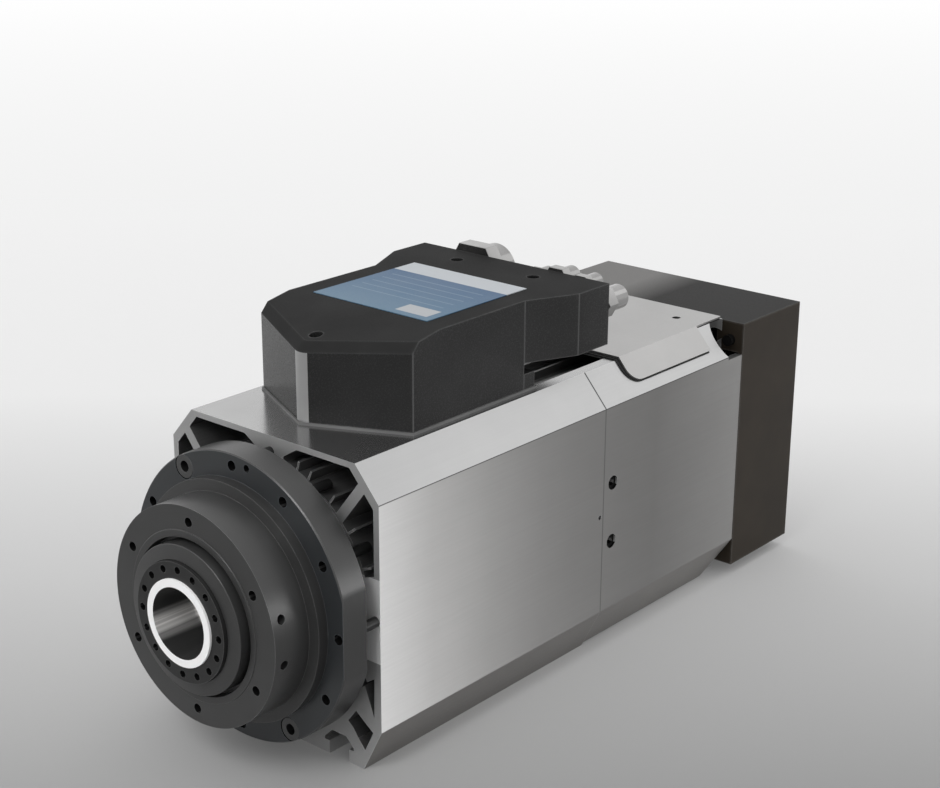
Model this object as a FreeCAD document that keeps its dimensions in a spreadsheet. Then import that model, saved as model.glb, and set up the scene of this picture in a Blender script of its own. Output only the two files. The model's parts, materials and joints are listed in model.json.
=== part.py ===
import FreeCAD, Part

import os
import re

import Sketcher

# A square motor spindle for a woodworking machine: an extruded housing with a black bearing nose,
# a shaft with a short hollow taper, a drawbar with a gripper, an air cylinder that opens it, a fan
# at the rear and a terminal box on top.  The shaft lies along Y, its nose points to -Y and the
# origin is the centre of the nose face of the shaft.

# Driving dimensions in millimetres, by group
SIZES = {
    # housing section, from the motor's bore outwards
    "tube_bore": 64.0,
    "tube_wall": 4.6,
    "side_gap": 2.7,
    "side_wall": 3.7,
    "top_gap": 8.9,
    "top_wall": 3.2,
    "keel_gap": 18.5,
    "shoulder_across": 15.7,
    "shoulder_drop": 17.9,
    "shoulder_wall": 4.9,
    "keel_across": 12.8,
    "keel_rise": 25.6,
    "rear_step": 2.0,
    "top_land": 18.8,
    "side_land": 24.0,
    "low_land": 32.4,
    "web_span": 2.9,
    "fin_height": 6.0,
    "fin_width": 1.6,
    "slot_inset": 17.55,
    "slot_neck": 14.3,
    "slot_head": 21.0,
    "slot_lip": 7.6,
    "slot_depth": 14.6,
    "slot_slant": 5.4,
    # lengths along the shaft
    "front_y": 65.6,
    "front_length": 184.3,
    "rear_length": 139.3,
    "cover_length": 65.6,
    "notch_radius": 10.7,
    "notch_inset": 7.2,
    "notch_outset": 8.4,
    "foot_notch": 18.2,
    "foot_run_out": 0.15,
    # nose and bearing flange
    "nose_radius": 58.8,
    "nose_face_y": 9.8,
    "nose_length": 22.7,
    "collar_radius": 65.0,
    "collar_length": 6.7,
    "flange_rim": 14.4,
    "flat_proud": 0.3,
    "flange_thickness": 16.4,
    "spigot_length": 14.4,
    "spigot_wall": 12.0,
    "nose_holes": 6,
    "nose_hole_circle": 51.0,
    "nose_hole_radius": 2.6,
    "nose_hole_depth": 14.0,
    "flange_holes": 12,
    "flange_hole_outset": 8.0,
    "flange_hole_radius": 2.8,
    "cap_head_radius": 6.3,
    "cap_head_depth": 8.0,
    "cap_gap": 0.4,
    "hex_socket": 3.0,
    "vent_radius": 2.0,
    "spanner_y": 16.0,
    "spanner_radius": 2.5,
    "stud_inset": 8.6,
    "stud_reach": 5.4,
    "long_stud_reach": 26.4,
    # shaft, rings and bearings
    "taper_mouth": 19.0,
    "taper_depth": 25.0,
    "taper_slope": 0.05,
    "face_ring": 23.2,
    "face_step": 1.3,
    "head_radius": 32.0,
    "head_length": 12.0,
    "balance_holes": 16,
    "balance_circle": 28.2,
    "balance_radius": 2.0,
    "balance_depth": 6.0,
    "slinger_radius": 39.8,
    "slinger_front_y": 3.5,
    "slinger_edge": 1.5,
    "lock_gap": 2.1,
    "lock_width": 3.9,
    "lock_face_y": 9.3,
    "bearing_y": 20.0,
    "slinger_back": 5.0,
    "bearing_width": 16.0,
    "bearing_gap": 6.0,
    "bearing_inner": 25.0,
    "bearing_outer": 40.0,
    "race": 5.0,
    "ball_gap": 0.3,
    "seat_lip": 3.0,
    "rear_bearing_offset": 8.1,
    "rear_width": 15.0,
    "pair_gap": 0.2,
    "rear_inner": 20.0,
    "rear_outer": 34.0,
    "rear_race": 4.2,
    "nut_height": 8.0,
    "nut_wall": 8.0,
    "wheel_width": 9.8,
    "wheel_wall": 10.0,
    # motor
    "core_inset": 34.4,
    "core_rear_gap": 19.9,
    "rotor_radius": 40.4,
    "air_gap": 0.6,
    "winding_length": 14.0,
    "winding_gap": 3.0,
    # drawbar, gripper and springs
    "drawbar_radius": 8.45,
    "slide_gap": 0.05,
    "gripper_bore": 15.5,
    "cone_front_y": 30.0,
    "cone_radius": 11.8,
    "gripper_offset": 6.0,
    "gripper_length": 36.0,
    "segments": 6,
    "segment_gap": 1.2,
    "neck_length": 40.0,
    "spring_bore": 14.5,
    "spring_end_gap": 22.0,
    "draw_nut_length": 12.0,
    "drawbar_end": 6.0,
    # unclamping cylinder
    "cylinder_gap": 6.0,
    "cylinder_inset": 13.2,
    "cylinder_wall": 10.0,
    "cylinder_side": 9.0,
    "rod_radius": 10.0,
    "contact_gap": 0.3,
    "piston_inset": 9.7,
    "piston_length": 14.3,
    "seal_width": 4.0,
    "seal_depth": 4.0,
    "cover_thickness": 8.0,
    "sensor_radius": 4.0,
    # rear cover and fan
    "cover_proud": 0.2,
    "cover_top_step": 0.5,
    "cover_low_step": 7.6,
    "cover_wall": 3.0,
    "cover_post": 16.0,
    "cover_screw": 2.0,
    "cover_screw_depth": 12.0,
    "cover_head": 3.4,
    "cover_head_depth": 4.0,
    "fan_hole": 63.0,
    "fan_radius": 57.0,
    "fan_hub": 24.0,
    "fan_length": 19.0,
    "fan_rear_gap": 9.8,
    "fan_blades": 7,
    "blade_width": 24.0,
    "blade_thickness": 2.0,
    "fan_axle": 4.0,
    "axle_length": 19.5,
    "mount_thickness": 4.0,
    "mount_arm": 12.0,
    "mount_hub": 30.0,
    "guard_wire": 2.6,
    "guard_gap": 0.4,
    # terminal box
    "box_base": 1.3,
    "box_overhang": 9.1,
    "box_point": 26.0,
    "box_side": 89.0,
    "box_flare": 30.0,
    "box_tail": 27.0,
    "box_foot": 9.0,
    "box_inset": 4.8,
    "box_wide_inset": 7.0,
    "box_foot_height": 9.9,
    "box_wide_height": 16.3,
    "box_height": 51.3,
    "ramp_length": 47.0,
    "ramp_drop": 8.5,
    "box_wall": 3.5,
    "box_edge": 4.5,
    "box_tip_radius": 10.0,
    "box_screw": 3.6,
    "box_screw_depth": 12.0,
    "cable_hole": 11.3,
    "cable_hole_inset": 66.0,
    "rim": 0.9,
    "box_screw_x": 28.0,
    "box_screw_gap": 17.0,
    "box_screw_tip": 13.0,
    "gland_drop": 13.0,
    "power_x": 31.0,
    "signal_x": 60.0,
    "air_small_x": 14.5,
    "air_small_rise": 5.5,
    "air_large_x": 30.5,
    "air_large_rise": 7.0,
    "coolant_x": 48.0,
    "coolant_rise": 7.5,
    "label_half": 41.0,
    "label_length": 81.0,
    "label_inset": 5.0,
    "label_thickness": 0.4,
    "block_half": 30.0,
    "block_length": 24.0,
    "block_height": 18.0,
    "block_inset": 82.0,
    # access plate on the rear housing, on its seal
    "seal_thickness": 0.6,
    "plate_thickness": 1.3,
    "plate_gap": 22.0,
    "plate_rear_gap": 1.7,
    "plate_flap": 16.0,
    "plate_flap_length": 79.0,
    "plate_corner": 9.0,
    "seal_rim": 2.4,
    "seal_low_rim": 0.8,
    "plate_hole": 2.6,
    "plate_hole_x": 40.6,
    "plate_hole_gap": 20.4,
    "opening_front": 45.5,
    "opening_lap": 3.0,
    "opening_half": 52.0,
    # side holes
    "side_hole_offset": 8.6,
    "side_hole_high": 16.3,
    "side_hole_low": 19.7,
    "side_hole_radius": 2.1,
    "side_hole_depth": 10.0,
    "pin_offset": 3.0,
    "pin_low": 1.7,
    "pin_radius": 1.3,
}

# Sizes and places that follow from the driving dimensions
DERIVED = {
    "tube_outer": "tube_bore + tube_wall",
    "inner_side": "tube_outer + side_gap",
    "side_half": "inner_side + side_wall",
    "inner_top": "tube_outer + top_gap",
    "top_z": "inner_top + top_wall",
    "bottom_z": "tube_outer + keel_gap",
    "top_half": "side_half - shoulder_across",
    "shoulder_z": "top_z - shoulder_drop",
    "low_half": "side_half - keel_across",
    "skirt_z": "bottom_z - keel_rise",
    "shoulder_length": "sqrt(shoulder_across ^ 2 + shoulder_drop ^ 2)",
    "slope_x": "shoulder_across / shoulder_length",
    "slope_z": "shoulder_drop / shoulder_length",
    "corner_x": "top_half + (top_wall * shoulder_across - shoulder_wall * shoulder_length) / shoulder_drop",
    "corner_z": "shoulder_z + (side_wall * shoulder_drop - shoulder_wall * shoulder_length)"
    " / shoulder_across",
    "web_x": "(corner_x + inner_side) / 2",
    "web_z": "(inner_top + corner_z) / 2",
    "slot_middle": "low_half - slot_inset",
    "seam_y": "front_y + front_length",
    "housing_rear_y": "seam_y + rear_length",
    "cover_rear_y": "housing_rear_y + cover_length",
    "nose_rear_y": "nose_face_y + nose_length",
    "flange_front_y": "nose_rear_y + collar_length",
    "flange_rear_y": "flange_front_y + flange_thickness",
    "flange_radius": "tube_bore + flange_rim",
    "flange_flat": "side_half + flat_proud",
    "flange_hole_circle": "tube_bore + flange_hole_outset",
    "spigot_end_y": "front_y + spigot_length",
    "stud_front_y": "flange_rear_y - stud_inset",
    "stud_end_y": "front_y + stud_reach",
    "stud_land_y": "front_y + long_stud_reach",
    "lock_inner": "slinger_radius + lock_gap",
    "lock_outer": "lock_inner + lock_width",
    "slinger_rear_y": "bearing_y - slinger_back",
    "front_pair_rear_y": "bearing_y + 2 * bearing_width + bearing_gap",
    "rear_bearing_y": "seam_y + rear_bearing_offset",
    "rear_pair_rear_y": "rear_bearing_y + 2 * rear_width + pair_gap",
    "shaft_end_y": "rear_pair_rear_y + nut_height + wheel_width",
    "core_front_y": "front_y + core_inset",
    "core_rear_y": "seam_y - core_rear_gap",
    "gripper_front_y": "cone_front_y + gripper_offset",
    "gripper_rear_y": "gripper_front_y + gripper_length",
    "spring_front_y": "gripper_rear_y + neck_length",
    "spring_rear_y": "shaft_end_y - spring_end_gap",
    "drawbar_end_y": "shaft_end_y + drawbar_end",
    "cylinder_front_y": "drawbar_end_y + cylinder_gap",
    "cylinder_rear_y": "housing_rear_y - cylinder_inset",
    "cylinder_bore": "tube_bore - cylinder_side",
    "piston_rear_y": "cylinder_rear_y - piston_inset",
    "piston_front_y": "piston_rear_y - piston_length",
    "seal_front_y": "(piston_front_y + piston_rear_y - seal_width) / 2",
    "seal_rear_y": "seal_front_y + seal_width",
    "cover_half": "side_half + cover_proud",
    "cover_top": "top_z - cover_top_step",
    "cover_bottom": "bottom_z - cover_low_step",
    "cover_screw_x": "cover_half - cover_wall - cover_post / 2 + 2",
    "cover_screw_top": "cover_top - cover_wall - cover_post / 2 - 0.5",
    "cover_screw_low": "cover_bottom - cover_wall - cover_post / 2 + 1",
    "fan_rear_y": "cover_rear_y - fan_rear_gap",
    "fan_front_y": "fan_rear_y - fan_length",
    "box_base_z": "top_z + box_base",
    "box_rear_y": "seam_y + box_overhang",
    "box_wide_y": "box_rear_y - box_tail",
    "box_neck_y": "box_wide_y - box_flare",
    "box_corner_y": "box_neck_y - box_side",
    "box_tip_y": "box_corner_y - box_point",
    "box_foot_y": "box_neck_y + box_foot",
    "box_half": "top_half - box_inset",
    "box_wide_half": "side_half - box_wide_inset",
    "box_foot_z": "top_z + box_foot_height",
    "box_wide_z": "top_z + box_wide_height",
    "box_top_z": "top_z + box_height",
    "ramp_y": "box_tip_y + ramp_length",
    "gland_z": "box_top_z - gland_drop",
    "opening_front_y": "box_rear_y - opening_front",
    "plate_front_y": "box_rear_y + plate_gap",
    "plate_rear_y": "housing_rear_y - plate_rear_gap",
    "opening_rear_y": "plate_front_y + opening_lap",
    "side_hole_y": "seam_y + side_hole_offset",
}

V = FreeCAD.Vector
doc = FreeCAD.newDocument("MotorSpindle")
sheet = doc.addObject("Spreadsheet::Sheet", "Sizes")
for row, (alias, number) in enumerate(SIZES.items(), start=1):
    sheet.set("A%d" % row, alias)
    sheet.set("B%d" % row, str(number))
    sheet.setAlias("B%d" % row, alias)
doc.recompute()

nodes = []


def bound(text):
    """The expression with derived sizes worked out and each alias written as a cell of the sheet."""

    def written_out(match):
        word = match.group()
        if word in DERIVED:
            return "(%s)" % bound(DERIVED[word])
        return "Sizes." + word if word in SIZES else word

    return re.sub(r"[a-z][a-z_]+", written_out, text)


def value(text):
    """The number that an expression gives with the sheet as it stands."""
    return float(sheet.evalExpression(bound(text)))


def tie(thing, prop, text):
    """Bind a property to an expression of the sheet."""
    thing.setExpression(prop, bound(text))


def new_body(name):
    """A named sub-part, kept for the export."""
    body = doc.addObject("PartDesign::Body", name)
    body.Label = name
    nodes.append(body)
    return body


def sketch_on(body, role, offset):
    """A sketch on an origin plane of the body, moved along the plane's normal."""
    sketch = body.newObject("Sketcher::SketchObject", body.Name + "_sketch")
    sketch.AttachmentSupport = [([f for f in body.Origin.OriginFeatures if f.Role == role][0], "")]
    sketch.MapMode = "FlatFace"
    tie(sketch, "AttachmentOffset.Base.z", offset)
    return sketch


def cross_section(body, station):
    """A sketch across the shaft at y = station, with x and z as its axes."""
    return sketch_on(body, "XZ_Plane", "-(%s)" % station)


def plan(body, height):
    """A sketch seen from above at z = height, with x and y as its axes."""
    return sketch_on(body, "XY_Plane", height)


def side_view(body, distance):
    """A sketch seen from the side at x = distance, with y and z as its axes."""
    return sketch_on(body, "YZ_Plane", distance)


def outline(sketch, points):
    """A closed outline of straight lines through points given as expressions."""
    places = [V(value(a), value(b), 0) for a, b in points]
    count = len(points)
    first = sketch.GeometryCount
    sketch.addGeometry([Part.LineSegment(places[i], places[(i + 1) % count]) for i in range(count)], False)
    for i in range(count):
        sketch.addConstraint(Sketcher.Constraint("Coincident", first + i, 2, first + (i + 1) % count, 1))
    for i, point in enumerate(points):
        for kind, text in zip(("DistanceX", "DistanceY"), point):
            number = sketch.addConstraint(Sketcher.Constraint(kind, -1, 1, first + i, 1, value(text)))
            tie(sketch, "Constraints[%d]" % number, text)


def circle(sketch, across, up, radius):
    """A circle whose centre and radius are expressions."""
    shape = Part.Circle(V(value(across), value(up), 0), V(0, 0, 1), value(radius))
    index = sketch.addGeometry(shape, False)
    for kind, text in (("DistanceX", across), ("DistanceY", up)):
        number = sketch.addConstraint(Sketcher.Constraint(kind, -1, 1, index, 3, value(text)))
        tie(sketch, "Constraints[%d]" % number, text)
    number = sketch.addConstraint(Sketcher.Constraint("Radius", index, value(radius)))
    tie(sketch, "Constraints[%d]" % number, radius)


def rectangle(sketch, low, high):
    """A rectangle between two corners."""
    outline(sketch, [low, (high[0], low[1]), high, (low[0], high[1])])


def extrude(body, kind, sketch, length, backwards):
    """A pad or a pocket of the sketch."""
    feature = body.newObject("PartDesign::" + kind, body.Name + "_" + kind.lower())
    feature.Profile = sketch
    feature.Reversed = backwards
    tie(feature, "Length", length)
    return feature


def pad(body, sketch, length, backwards=False):
    """Material on the side that the sketch's normal points to, or behind it."""
    return extrude(body, "Pad", sketch, length, backwards)


def pad_rearward(body, sketch, length):
    """Material from a cross section towards +Y."""
    return extrude(body, "Pad", sketch, length, True)


def pocket(body, sketch, length, backwards=False):
    """A cut behind the sketch, which is towards +Y from a cross section."""
    return extrude(body, "Pocket", sketch, length, backwards)


def around(body, feature, sketch, count):
    """Copies of a feature all round the axis of a cross section."""
    pattern = body.newObject("PartDesign::PolarPattern", body.Name + "_round")
    pattern.Originals = [feature]
    pattern.Axis = (sketch, ["N_Axis"])
    pattern.Angle = 360
    tie(pattern, "Occurrences", count)
    body.Tip = pattern
    return pattern


def turned(name, *outlines):
    """A part turned about the shaft's axis from outlines of (radius, y) points."""
    body = new_body(name)
    sketch = plan(body, "0")
    for points in outlines:
        outline(sketch, points)
    turn = body.newObject("PartDesign::Revolution", name + "_turn")
    turn.Profile = sketch
    turn.ReferenceAxis = (sketch, ["V_Axis"])
    turn.Angle = 360
    return body


def band(inner, outer, start, end):
    """The outline of a plain ring."""
    return [(inner, start), (outer, start), (outer, end), (inner, end)]


def mirrored(points, side):
    """The outline on the right side, or its mirror image on the left."""
    return [("%d * (%s)" % (side, across), up) for across, up in points]


# The hollows of the housing's section, on the right half

TOP_HOLLOW = [
    ("top_land", "inner_top"),
    ("corner_x", "inner_top"),
    ("web_x - web_span * 0.66", "web_z + web_span * 0.75"),
    ("tube_bore * 0.7 - web_span * 0.66", "tube_bore * 0.7 + web_span * 0.75"),
    ("top_land / 2", "tube_bore * 0.9"),
    ("top_land / 2", "inner_top - web_span * 2"),
]
SIDE_HOLLOW = [
    ("inner_side", "corner_z"),
    ("inner_side", "side_land"),
    ("inner_side - web_span * 3", "side_land - web_span"),
    ("tube_bore * 0.88", "side_land - web_span"),
    ("tube_bore * 0.7 + web_span * 0.66", "tube_bore * 0.7 - web_span * 0.75"),
    ("web_x + web_span * 0.66", "web_z - web_span * 0.75"),
]
LOW_HOLLOW = [
    ("inner_side - 8", "-low_land - 4.8"),
    ("inner_side - 0.8", "-low_land"),
    ("inner_side - 1.2", "-low_land - 22.5"),
]
KEEL_HOLLOW = [
    ("low_half - 10.8", "-skirt_z - 1"),
    ("low_half - 4.9", "-skirt_z + 6.5"),
    ("low_half + 3.8", "-skirt_z + 0.1"),
    ("low_half + 7", "-skirt_z - 2"),
    ("low_half + 1.1", "-skirt_z - 14.1"),
    ("low_half - 3.7", "-skirt_z - 8.6"),
    ("low_half - 7.2", "-skirt_z - 4"),
]
T_SLOT = [
    ("slot_middle - slot_neck / 2", "-bottom_z"),
    ("slot_middle - slot_neck / 2", "-bottom_z + slot_lip"),
    ("slot_middle - slot_head / 2", "-bottom_z + slot_lip"),
    ("slot_middle - slot_head / 2", "-bottom_z + slot_depth - slot_slant"),
    ("slot_middle - slot_head / 2 + slot_slant", "-bottom_z + slot_depth"),
    ("slot_middle + slot_head / 2 - slot_slant", "-bottom_z + slot_depth"),
    ("slot_middle + slot_head / 2", "-bottom_z + slot_depth - slot_slant"),
    ("slot_middle + slot_head / 2", "-bottom_z + slot_lip"),
    ("slot_middle + slot_neck / 2", "-bottom_z + slot_lip"),
    ("slot_middle + slot_neck / 2", "-bottom_z"),
]
# directions of the cooling fins in the upper and the side hollow, in degrees from +X
FIN_TURNS = (74, 67, 53, 38, 22)


def cooling_fins(sketch):
    """Radial fins that stand on the motor's tube inside the hollows, on both sides."""
    for turn in FIN_TURNS:
        for side in (1, -1):
            corners = []
            for radius, across in (
                ("tube_outer - 1", "-fin_width / 2"),
                ("tube_outer + fin_height", "-fin_width / 3"),
                ("tube_outer + fin_height", "fin_width / 3"),
                ("tube_outer - 1", "fin_width / 2"),
            ):
                right = "(%s) * cos(%d) - (%s) * sin(%d)" % (radius, turn, across, turn)
                up = "(%s) * sin(%d) + (%s) * cos(%d)" % (radius, turn, across, turn)
                corners.append((right, up))
            outline(sketch, mirrored(corners, side))


def extruded_housing(name, start, end, bottom):
    """A length of the housing: outline, corner hollows, the round tube for the motor and its fins."""
    body = new_body(name)
    length = "%s - %s" % (end, start)
    shell = cross_section(body, start)
    right = [
        ("low_half + (bottom_z - %s) / 2" % bottom, "-" + bottom),
        ("side_half", "-skirt_z"),
        ("side_half", "shoulder_z"),
        ("top_half", "top_z"),
    ]
    outline(shell, right + mirrored(right[::-1], -1))
    pad_rearward(body, shell, length)
    hollows = cross_section(body, start)
    for side in (1, -1):
        for points in (TOP_HOLLOW, SIDE_HOLLOW, LOW_HOLLOW, KEEL_HOLLOW):
            outline(hollows, mirrored(points, side))
    pocket(body, hollows, length)
    tube = cross_section(body, start)
    circle(tube, "0", "0", "tube_outer")
    pad_rearward(body, tube, length)
    fins = cross_section(body, start)
    cooling_fins(fins)
    pad_rearward(body, fins, length)
    bore = cross_section(body, start)
    circle(bore, "0", "0", "tube_bore")
    pocket(body, bore, length)
    return body


def flange_place(turn):
    """A place on the flange's hole circle, by its angle from +X."""
    return ("flange_hole_circle * cos(%d)" % turn, "flange_hole_circle * sin(%d)" % turn)


# Front housing: T slots for fastening below, an opening under the terminal box and stud holes in the lands
front = extruded_housing("front_housing", "front_y", "seam_y", "bottom_z")
slots = cross_section(front, "front_y")
for side in (1, -1):
    outline(slots, mirrored(T_SLOT, side))
pocket(front, slots, "front_length")
opening = plan(front, "top_z")
rectangle(opening, ("-opening_half", "opening_front_y"), ("opening_half", "seam_y"))
pocket(front, opening, "top_wall + web_span")
cable_hole = plan(front, "top_z")
circle(cable_hole, "0", "box_tip_y + cable_hole_inset", "cable_hole")
pocket(front, cable_hole, "top_z - tube_bore * 0.9")
stud_ends = cross_section(front, "front_y")
for turn in (210, 240, 300, 330):
    circle(stud_ends, *flange_place(turn), "flange_hole_radius")
pocket(front, stud_ends, "stud_reach")
land_holes = cross_section(front, "front_y")
for turn in (90, 270):
    circle(land_holes, *flange_place(turn), "flange_hole_radius")
pocket(front, land_holes, "long_stud_reach")
pin_hole = side_view(front, "side_half")
circle(pin_hole, "seam_y - pin_offset", "-pin_low", "pin_radius")
pocket(front, pin_hole, "side_hole_depth * 0.8")

# Rear housing: opening under the access plate, side holes and notched rear corners
rear = extruded_housing("rear_housing", "seam_y", "housing_rear_y", "(bottom_z - rear_step)")
opening = plan(rear, "top_z")
rectangle(opening, ("-opening_half", "seam_y"), ("opening_half", "opening_rear_y"))
pocket(rear, opening, "top_wall + web_span")
side_holes = side_view(rear, "side_half")
circle(side_holes, "side_hole_y", "side_hole_high", "side_hole_radius")
circle(side_holes, "side_hole_y", "-side_hole_low", "side_hole_radius")
pocket(rear, side_holes, "side_hole_depth")
side_sinks = side_view(rear, "side_half")
circle(side_sinks, "side_hole_y", "side_hole_high", "side_hole_radius * 2")
circle(side_sinks, "side_hole_y", "-side_hole_low", "side_hole_radius * 2")
pocket(rear, side_sinks, "side_hole_radius * 0.6")
top_notches = plan(rear, "top_z")
low_notches = plan(rear, "-bottom_z")
FOOT_OUTER = "side_half + keel_across * foot_run_out"
FOOT_INNER = "low_half - keel_across * foot_run_out"
FOOT_REAR = "housing_rear_y + foot_notch * foot_run_out"
FOOT_FRONT = "housing_rear_y - foot_notch * (1 + foot_run_out)"
for side in (1, -1):
    notch_place = ("%d * (top_half + notch_outset)" % side, "housing_rear_y - notch_inset")
    circle(top_notches, *notch_place, "notch_radius")
    foot = [(FOOT_OUTER, FOOT_REAR), (FOOT_INNER, FOOT_REAR), (FOOT_INNER, FOOT_FRONT)]
    outline(low_notches, mirrored(foot, side))
pocket(rear, top_notches, "shoulder_drop + 2")
pocket(rear, low_notches, "keel_rise + 1.5", True)

# Bearing flange with the round nose, the collar and the flatted flange
CAP_TURNS = (120, 300)
flange = turned(
    "bearing_flange",
    [
        ("lock_outer", "nose_face_y"),
        ("nose_radius", "nose_face_y"),
        ("nose_radius", "nose_rear_y"),
        ("collar_radius", "nose_rear_y + 0.5"),
        ("collar_radius", "flange_front_y"),
        ("flange_radius - 0.6", "flange_front_y"),
        ("flange_radius", "flange_front_y + 0.6"),
        ("flange_radius", "flange_rear_y"),
        ("tube_bore", "flange_rear_y"),
        ("tube_bore", "spigot_end_y"),
        ("tube_bore - spigot_wall", "spigot_end_y"),
        ("tube_bore - spigot_wall", "front_pair_rear_y + seat_lip * 2"),
        ("bearing_outer - seat_lip", "front_pair_rear_y + seat_lip * 2"),
        ("bearing_outer - seat_lip", "front_pair_rear_y"),
        ("bearing_outer", "front_pair_rear_y"),
        ("bearing_outer", "bearing_y"),
        ("lock_outer", "bearing_y"),
    ],
)
flats = cross_section(flange, "flange_front_y")
for side in (1, -1):
    beyond_flat = band("flange_flat", "flange_radius + 2", "-flange_radius", "flange_radius")
    outline(flats, mirrored(beyond_flat, side))
pocket(flange, flats, "flange_thickness")
nose_hole = cross_section(flange, "nose_face_y")
circle(nose_hole, "0", "nose_hole_circle", "nose_hole_radius")
around(flange, pocket(flange, nose_hole, "nose_hole_depth"), nose_hole, "nose_holes")
flange_hole = cross_section(flange, "flange_front_y")
circle(flange_hole, "0", "flange_hole_circle", "flange_hole_radius")
around(flange, pocket(flange, flange_hole, "flange_thickness"), flange_hole, "flange_holes")
cap_seats = cross_section(flange, "flange_front_y")
for turn in CAP_TURNS:
    circle(cap_seats, *flange_place(turn), "cap_head_radius + cap_gap")
pocket(flange, cap_seats, "cap_head_depth")
vent_hole = cross_section(flange, "flange_front_y")
vent_reach = "(flange_hole_circle + vent_radius)"
circle(vent_hole, vent_reach + " * cos(81.6)", vent_reach + " * sin(81.6)", "vent_radius")
pocket(flange, vent_hole, "flange_thickness / 2")
spanner_holes = side_view(flange, "nose_radius")
circle(spanner_holes, "spanner_y", "nose_radius * sin(14.5)", "spanner_radius")
circle(spanner_holes, "spanner_y", "-nose_radius * sin(9)", "spanner_radius")
pocket(flange, spanner_holes, "spanner_radius * 3")

turned(
    "nose_lock_ring",
    [
        ("lock_inner", "lock_face_y"),
        ("lock_outer", "lock_face_y"),
        ("lock_outer", "bearing_y"),
        ("bearing_outer - seat_lip", "bearing_y"),
        ("bearing_outer - seat_lip", "slinger_rear_y + air_gap"),
        ("lock_inner", "slinger_rear_y + air_gap"),
    ],
)
turned(
    "labyrinth_ring",
    [
        ("head_radius", "slinger_front_y"),
        ("slinger_radius", "slinger_front_y + slinger_edge"),
        ("slinger_radius", "slinger_rear_y"),
        ("bearing_inner + race + 1", "slinger_rear_y"),
        ("bearing_inner + race + 1", "bearing_y"),
        ("bearing_inner", "bearing_y"),
        ("bearing_inner", "head_length"),
        ("head_radius", "head_length"),
    ],
)

# Screws and studs of the flange
cap_screws = new_body("flange_screws")
cap_heads = cross_section(cap_screws, "flange_front_y + cap_gap / 2")
cap_sockets = cross_section(cap_screws, "flange_front_y + cap_gap / 2")
cap_shanks = cross_section(cap_screws, "flange_front_y + cap_head_depth")
for turn in CAP_TURNS:
    circle(cap_heads, *flange_place(turn), "cap_head_radius")
    circle(cap_sockets, *flange_place(turn), "hex_socket")
    circle(cap_shanks, *flange_place(turn), "flange_hole_radius")
pad_rearward(cap_screws, cap_heads, "cap_head_depth - cap_gap / 2")
pocket(cap_screws, cap_sockets, "cap_head_depth * 0.6")
pad_rearward(cap_screws, cap_shanks, "stud_end_y - flange_front_y - cap_head_depth")

studs = new_body("flange_studs")
STUD_LENGTHS = [
    ((90, 270), "stud_land_y - stud_front_y"),
    ((30, 60, 150, 210, 240, 330), "stud_end_y - stud_front_y"),
    ((0, 180), "front_y - stud_front_y"),
]
for turns, length in STUD_LENGTHS:
    stud_sketch = cross_section(studs, "stud_front_y")
    for turn in turns:
        circle(stud_sketch, *flange_place(turn), "flange_hole_radius")
    pad_rearward(studs, stud_sketch, length)

# Front and rear bearings: angular contact pairs, each as outer rings, inner rings and ball cages
FRONT_GAP = ("bearing_y + bearing_width", "bearing_y + bearing_width + bearing_gap")
FRONT_PAIR = (("bearing_y", FRONT_GAP[0]), (FRONT_GAP[1], "front_pair_rear_y"))
REAR_GAP = ("rear_bearing_y + rear_width", "rear_bearing_y + rear_width + pair_gap")
REAR_PAIR = (("rear_bearing_y", REAR_GAP[0]), (REAR_GAP[1], "rear_pair_rear_y"))


def bearing_set(name, spans, inner, outer, race):
    """The rings and the ball cages of the bearings that sit side by side."""
    inner_edge = "%s + %s" % (inner, race)
    outer_edge = "%s - %s" % (outer, race)
    turned(name + "_outer_rings", *[band(outer_edge, outer, *span) for span in spans])
    turned(name + "_inner_rings", *[band(inner, inner_edge, *span) for span in spans])
    cages = []
    for start, end in spans:
        cages.append(band(inner_edge, outer_edge + " - ball_gap", start + " + race / 2", end + " - race / 2"))
    turned(name + "_balls", *cages)


bearing_set("front_bearing", FRONT_PAIR, "bearing_inner", "bearing_outer", "race")
bearing_set("rear_bearing", REAR_PAIR, "rear_inner", "rear_outer", "rear_race")
turned("outer_spacer", band("bearing_outer - race", "bearing_outer", *FRONT_GAP))
turned("inner_spacer", band("bearing_inner", "bearing_inner + race", *FRONT_GAP))
turned(
    "front_shaft_nut",
    band("bearing_inner", "bearing_inner + nut_wall", "front_pair_rear_y", "front_pair_rear_y + nut_height"),
)
turned(
    "rear_shaft_nut",
    band("rear_inner", "rear_inner + nut_wall", "rear_pair_rear_y", "rear_pair_rear_y + nut_height"),
)

# Motor
WINDING = ("rotor_radius + winding_gap", "tube_bore - winding_gap")
turned("stator_core", band("rotor_radius + air_gap", "tube_bore", "core_front_y", "core_rear_y"))
turned(
    "stator_windings",
    band(*WINDING, "core_front_y - winding_length", "core_front_y"),
    band(*WINDING, "core_rear_y", "core_rear_y + winding_length"),
)
turned("rotor_core", band("bearing_inner", "rotor_radius", "core_front_y", "core_rear_y"))

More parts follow.
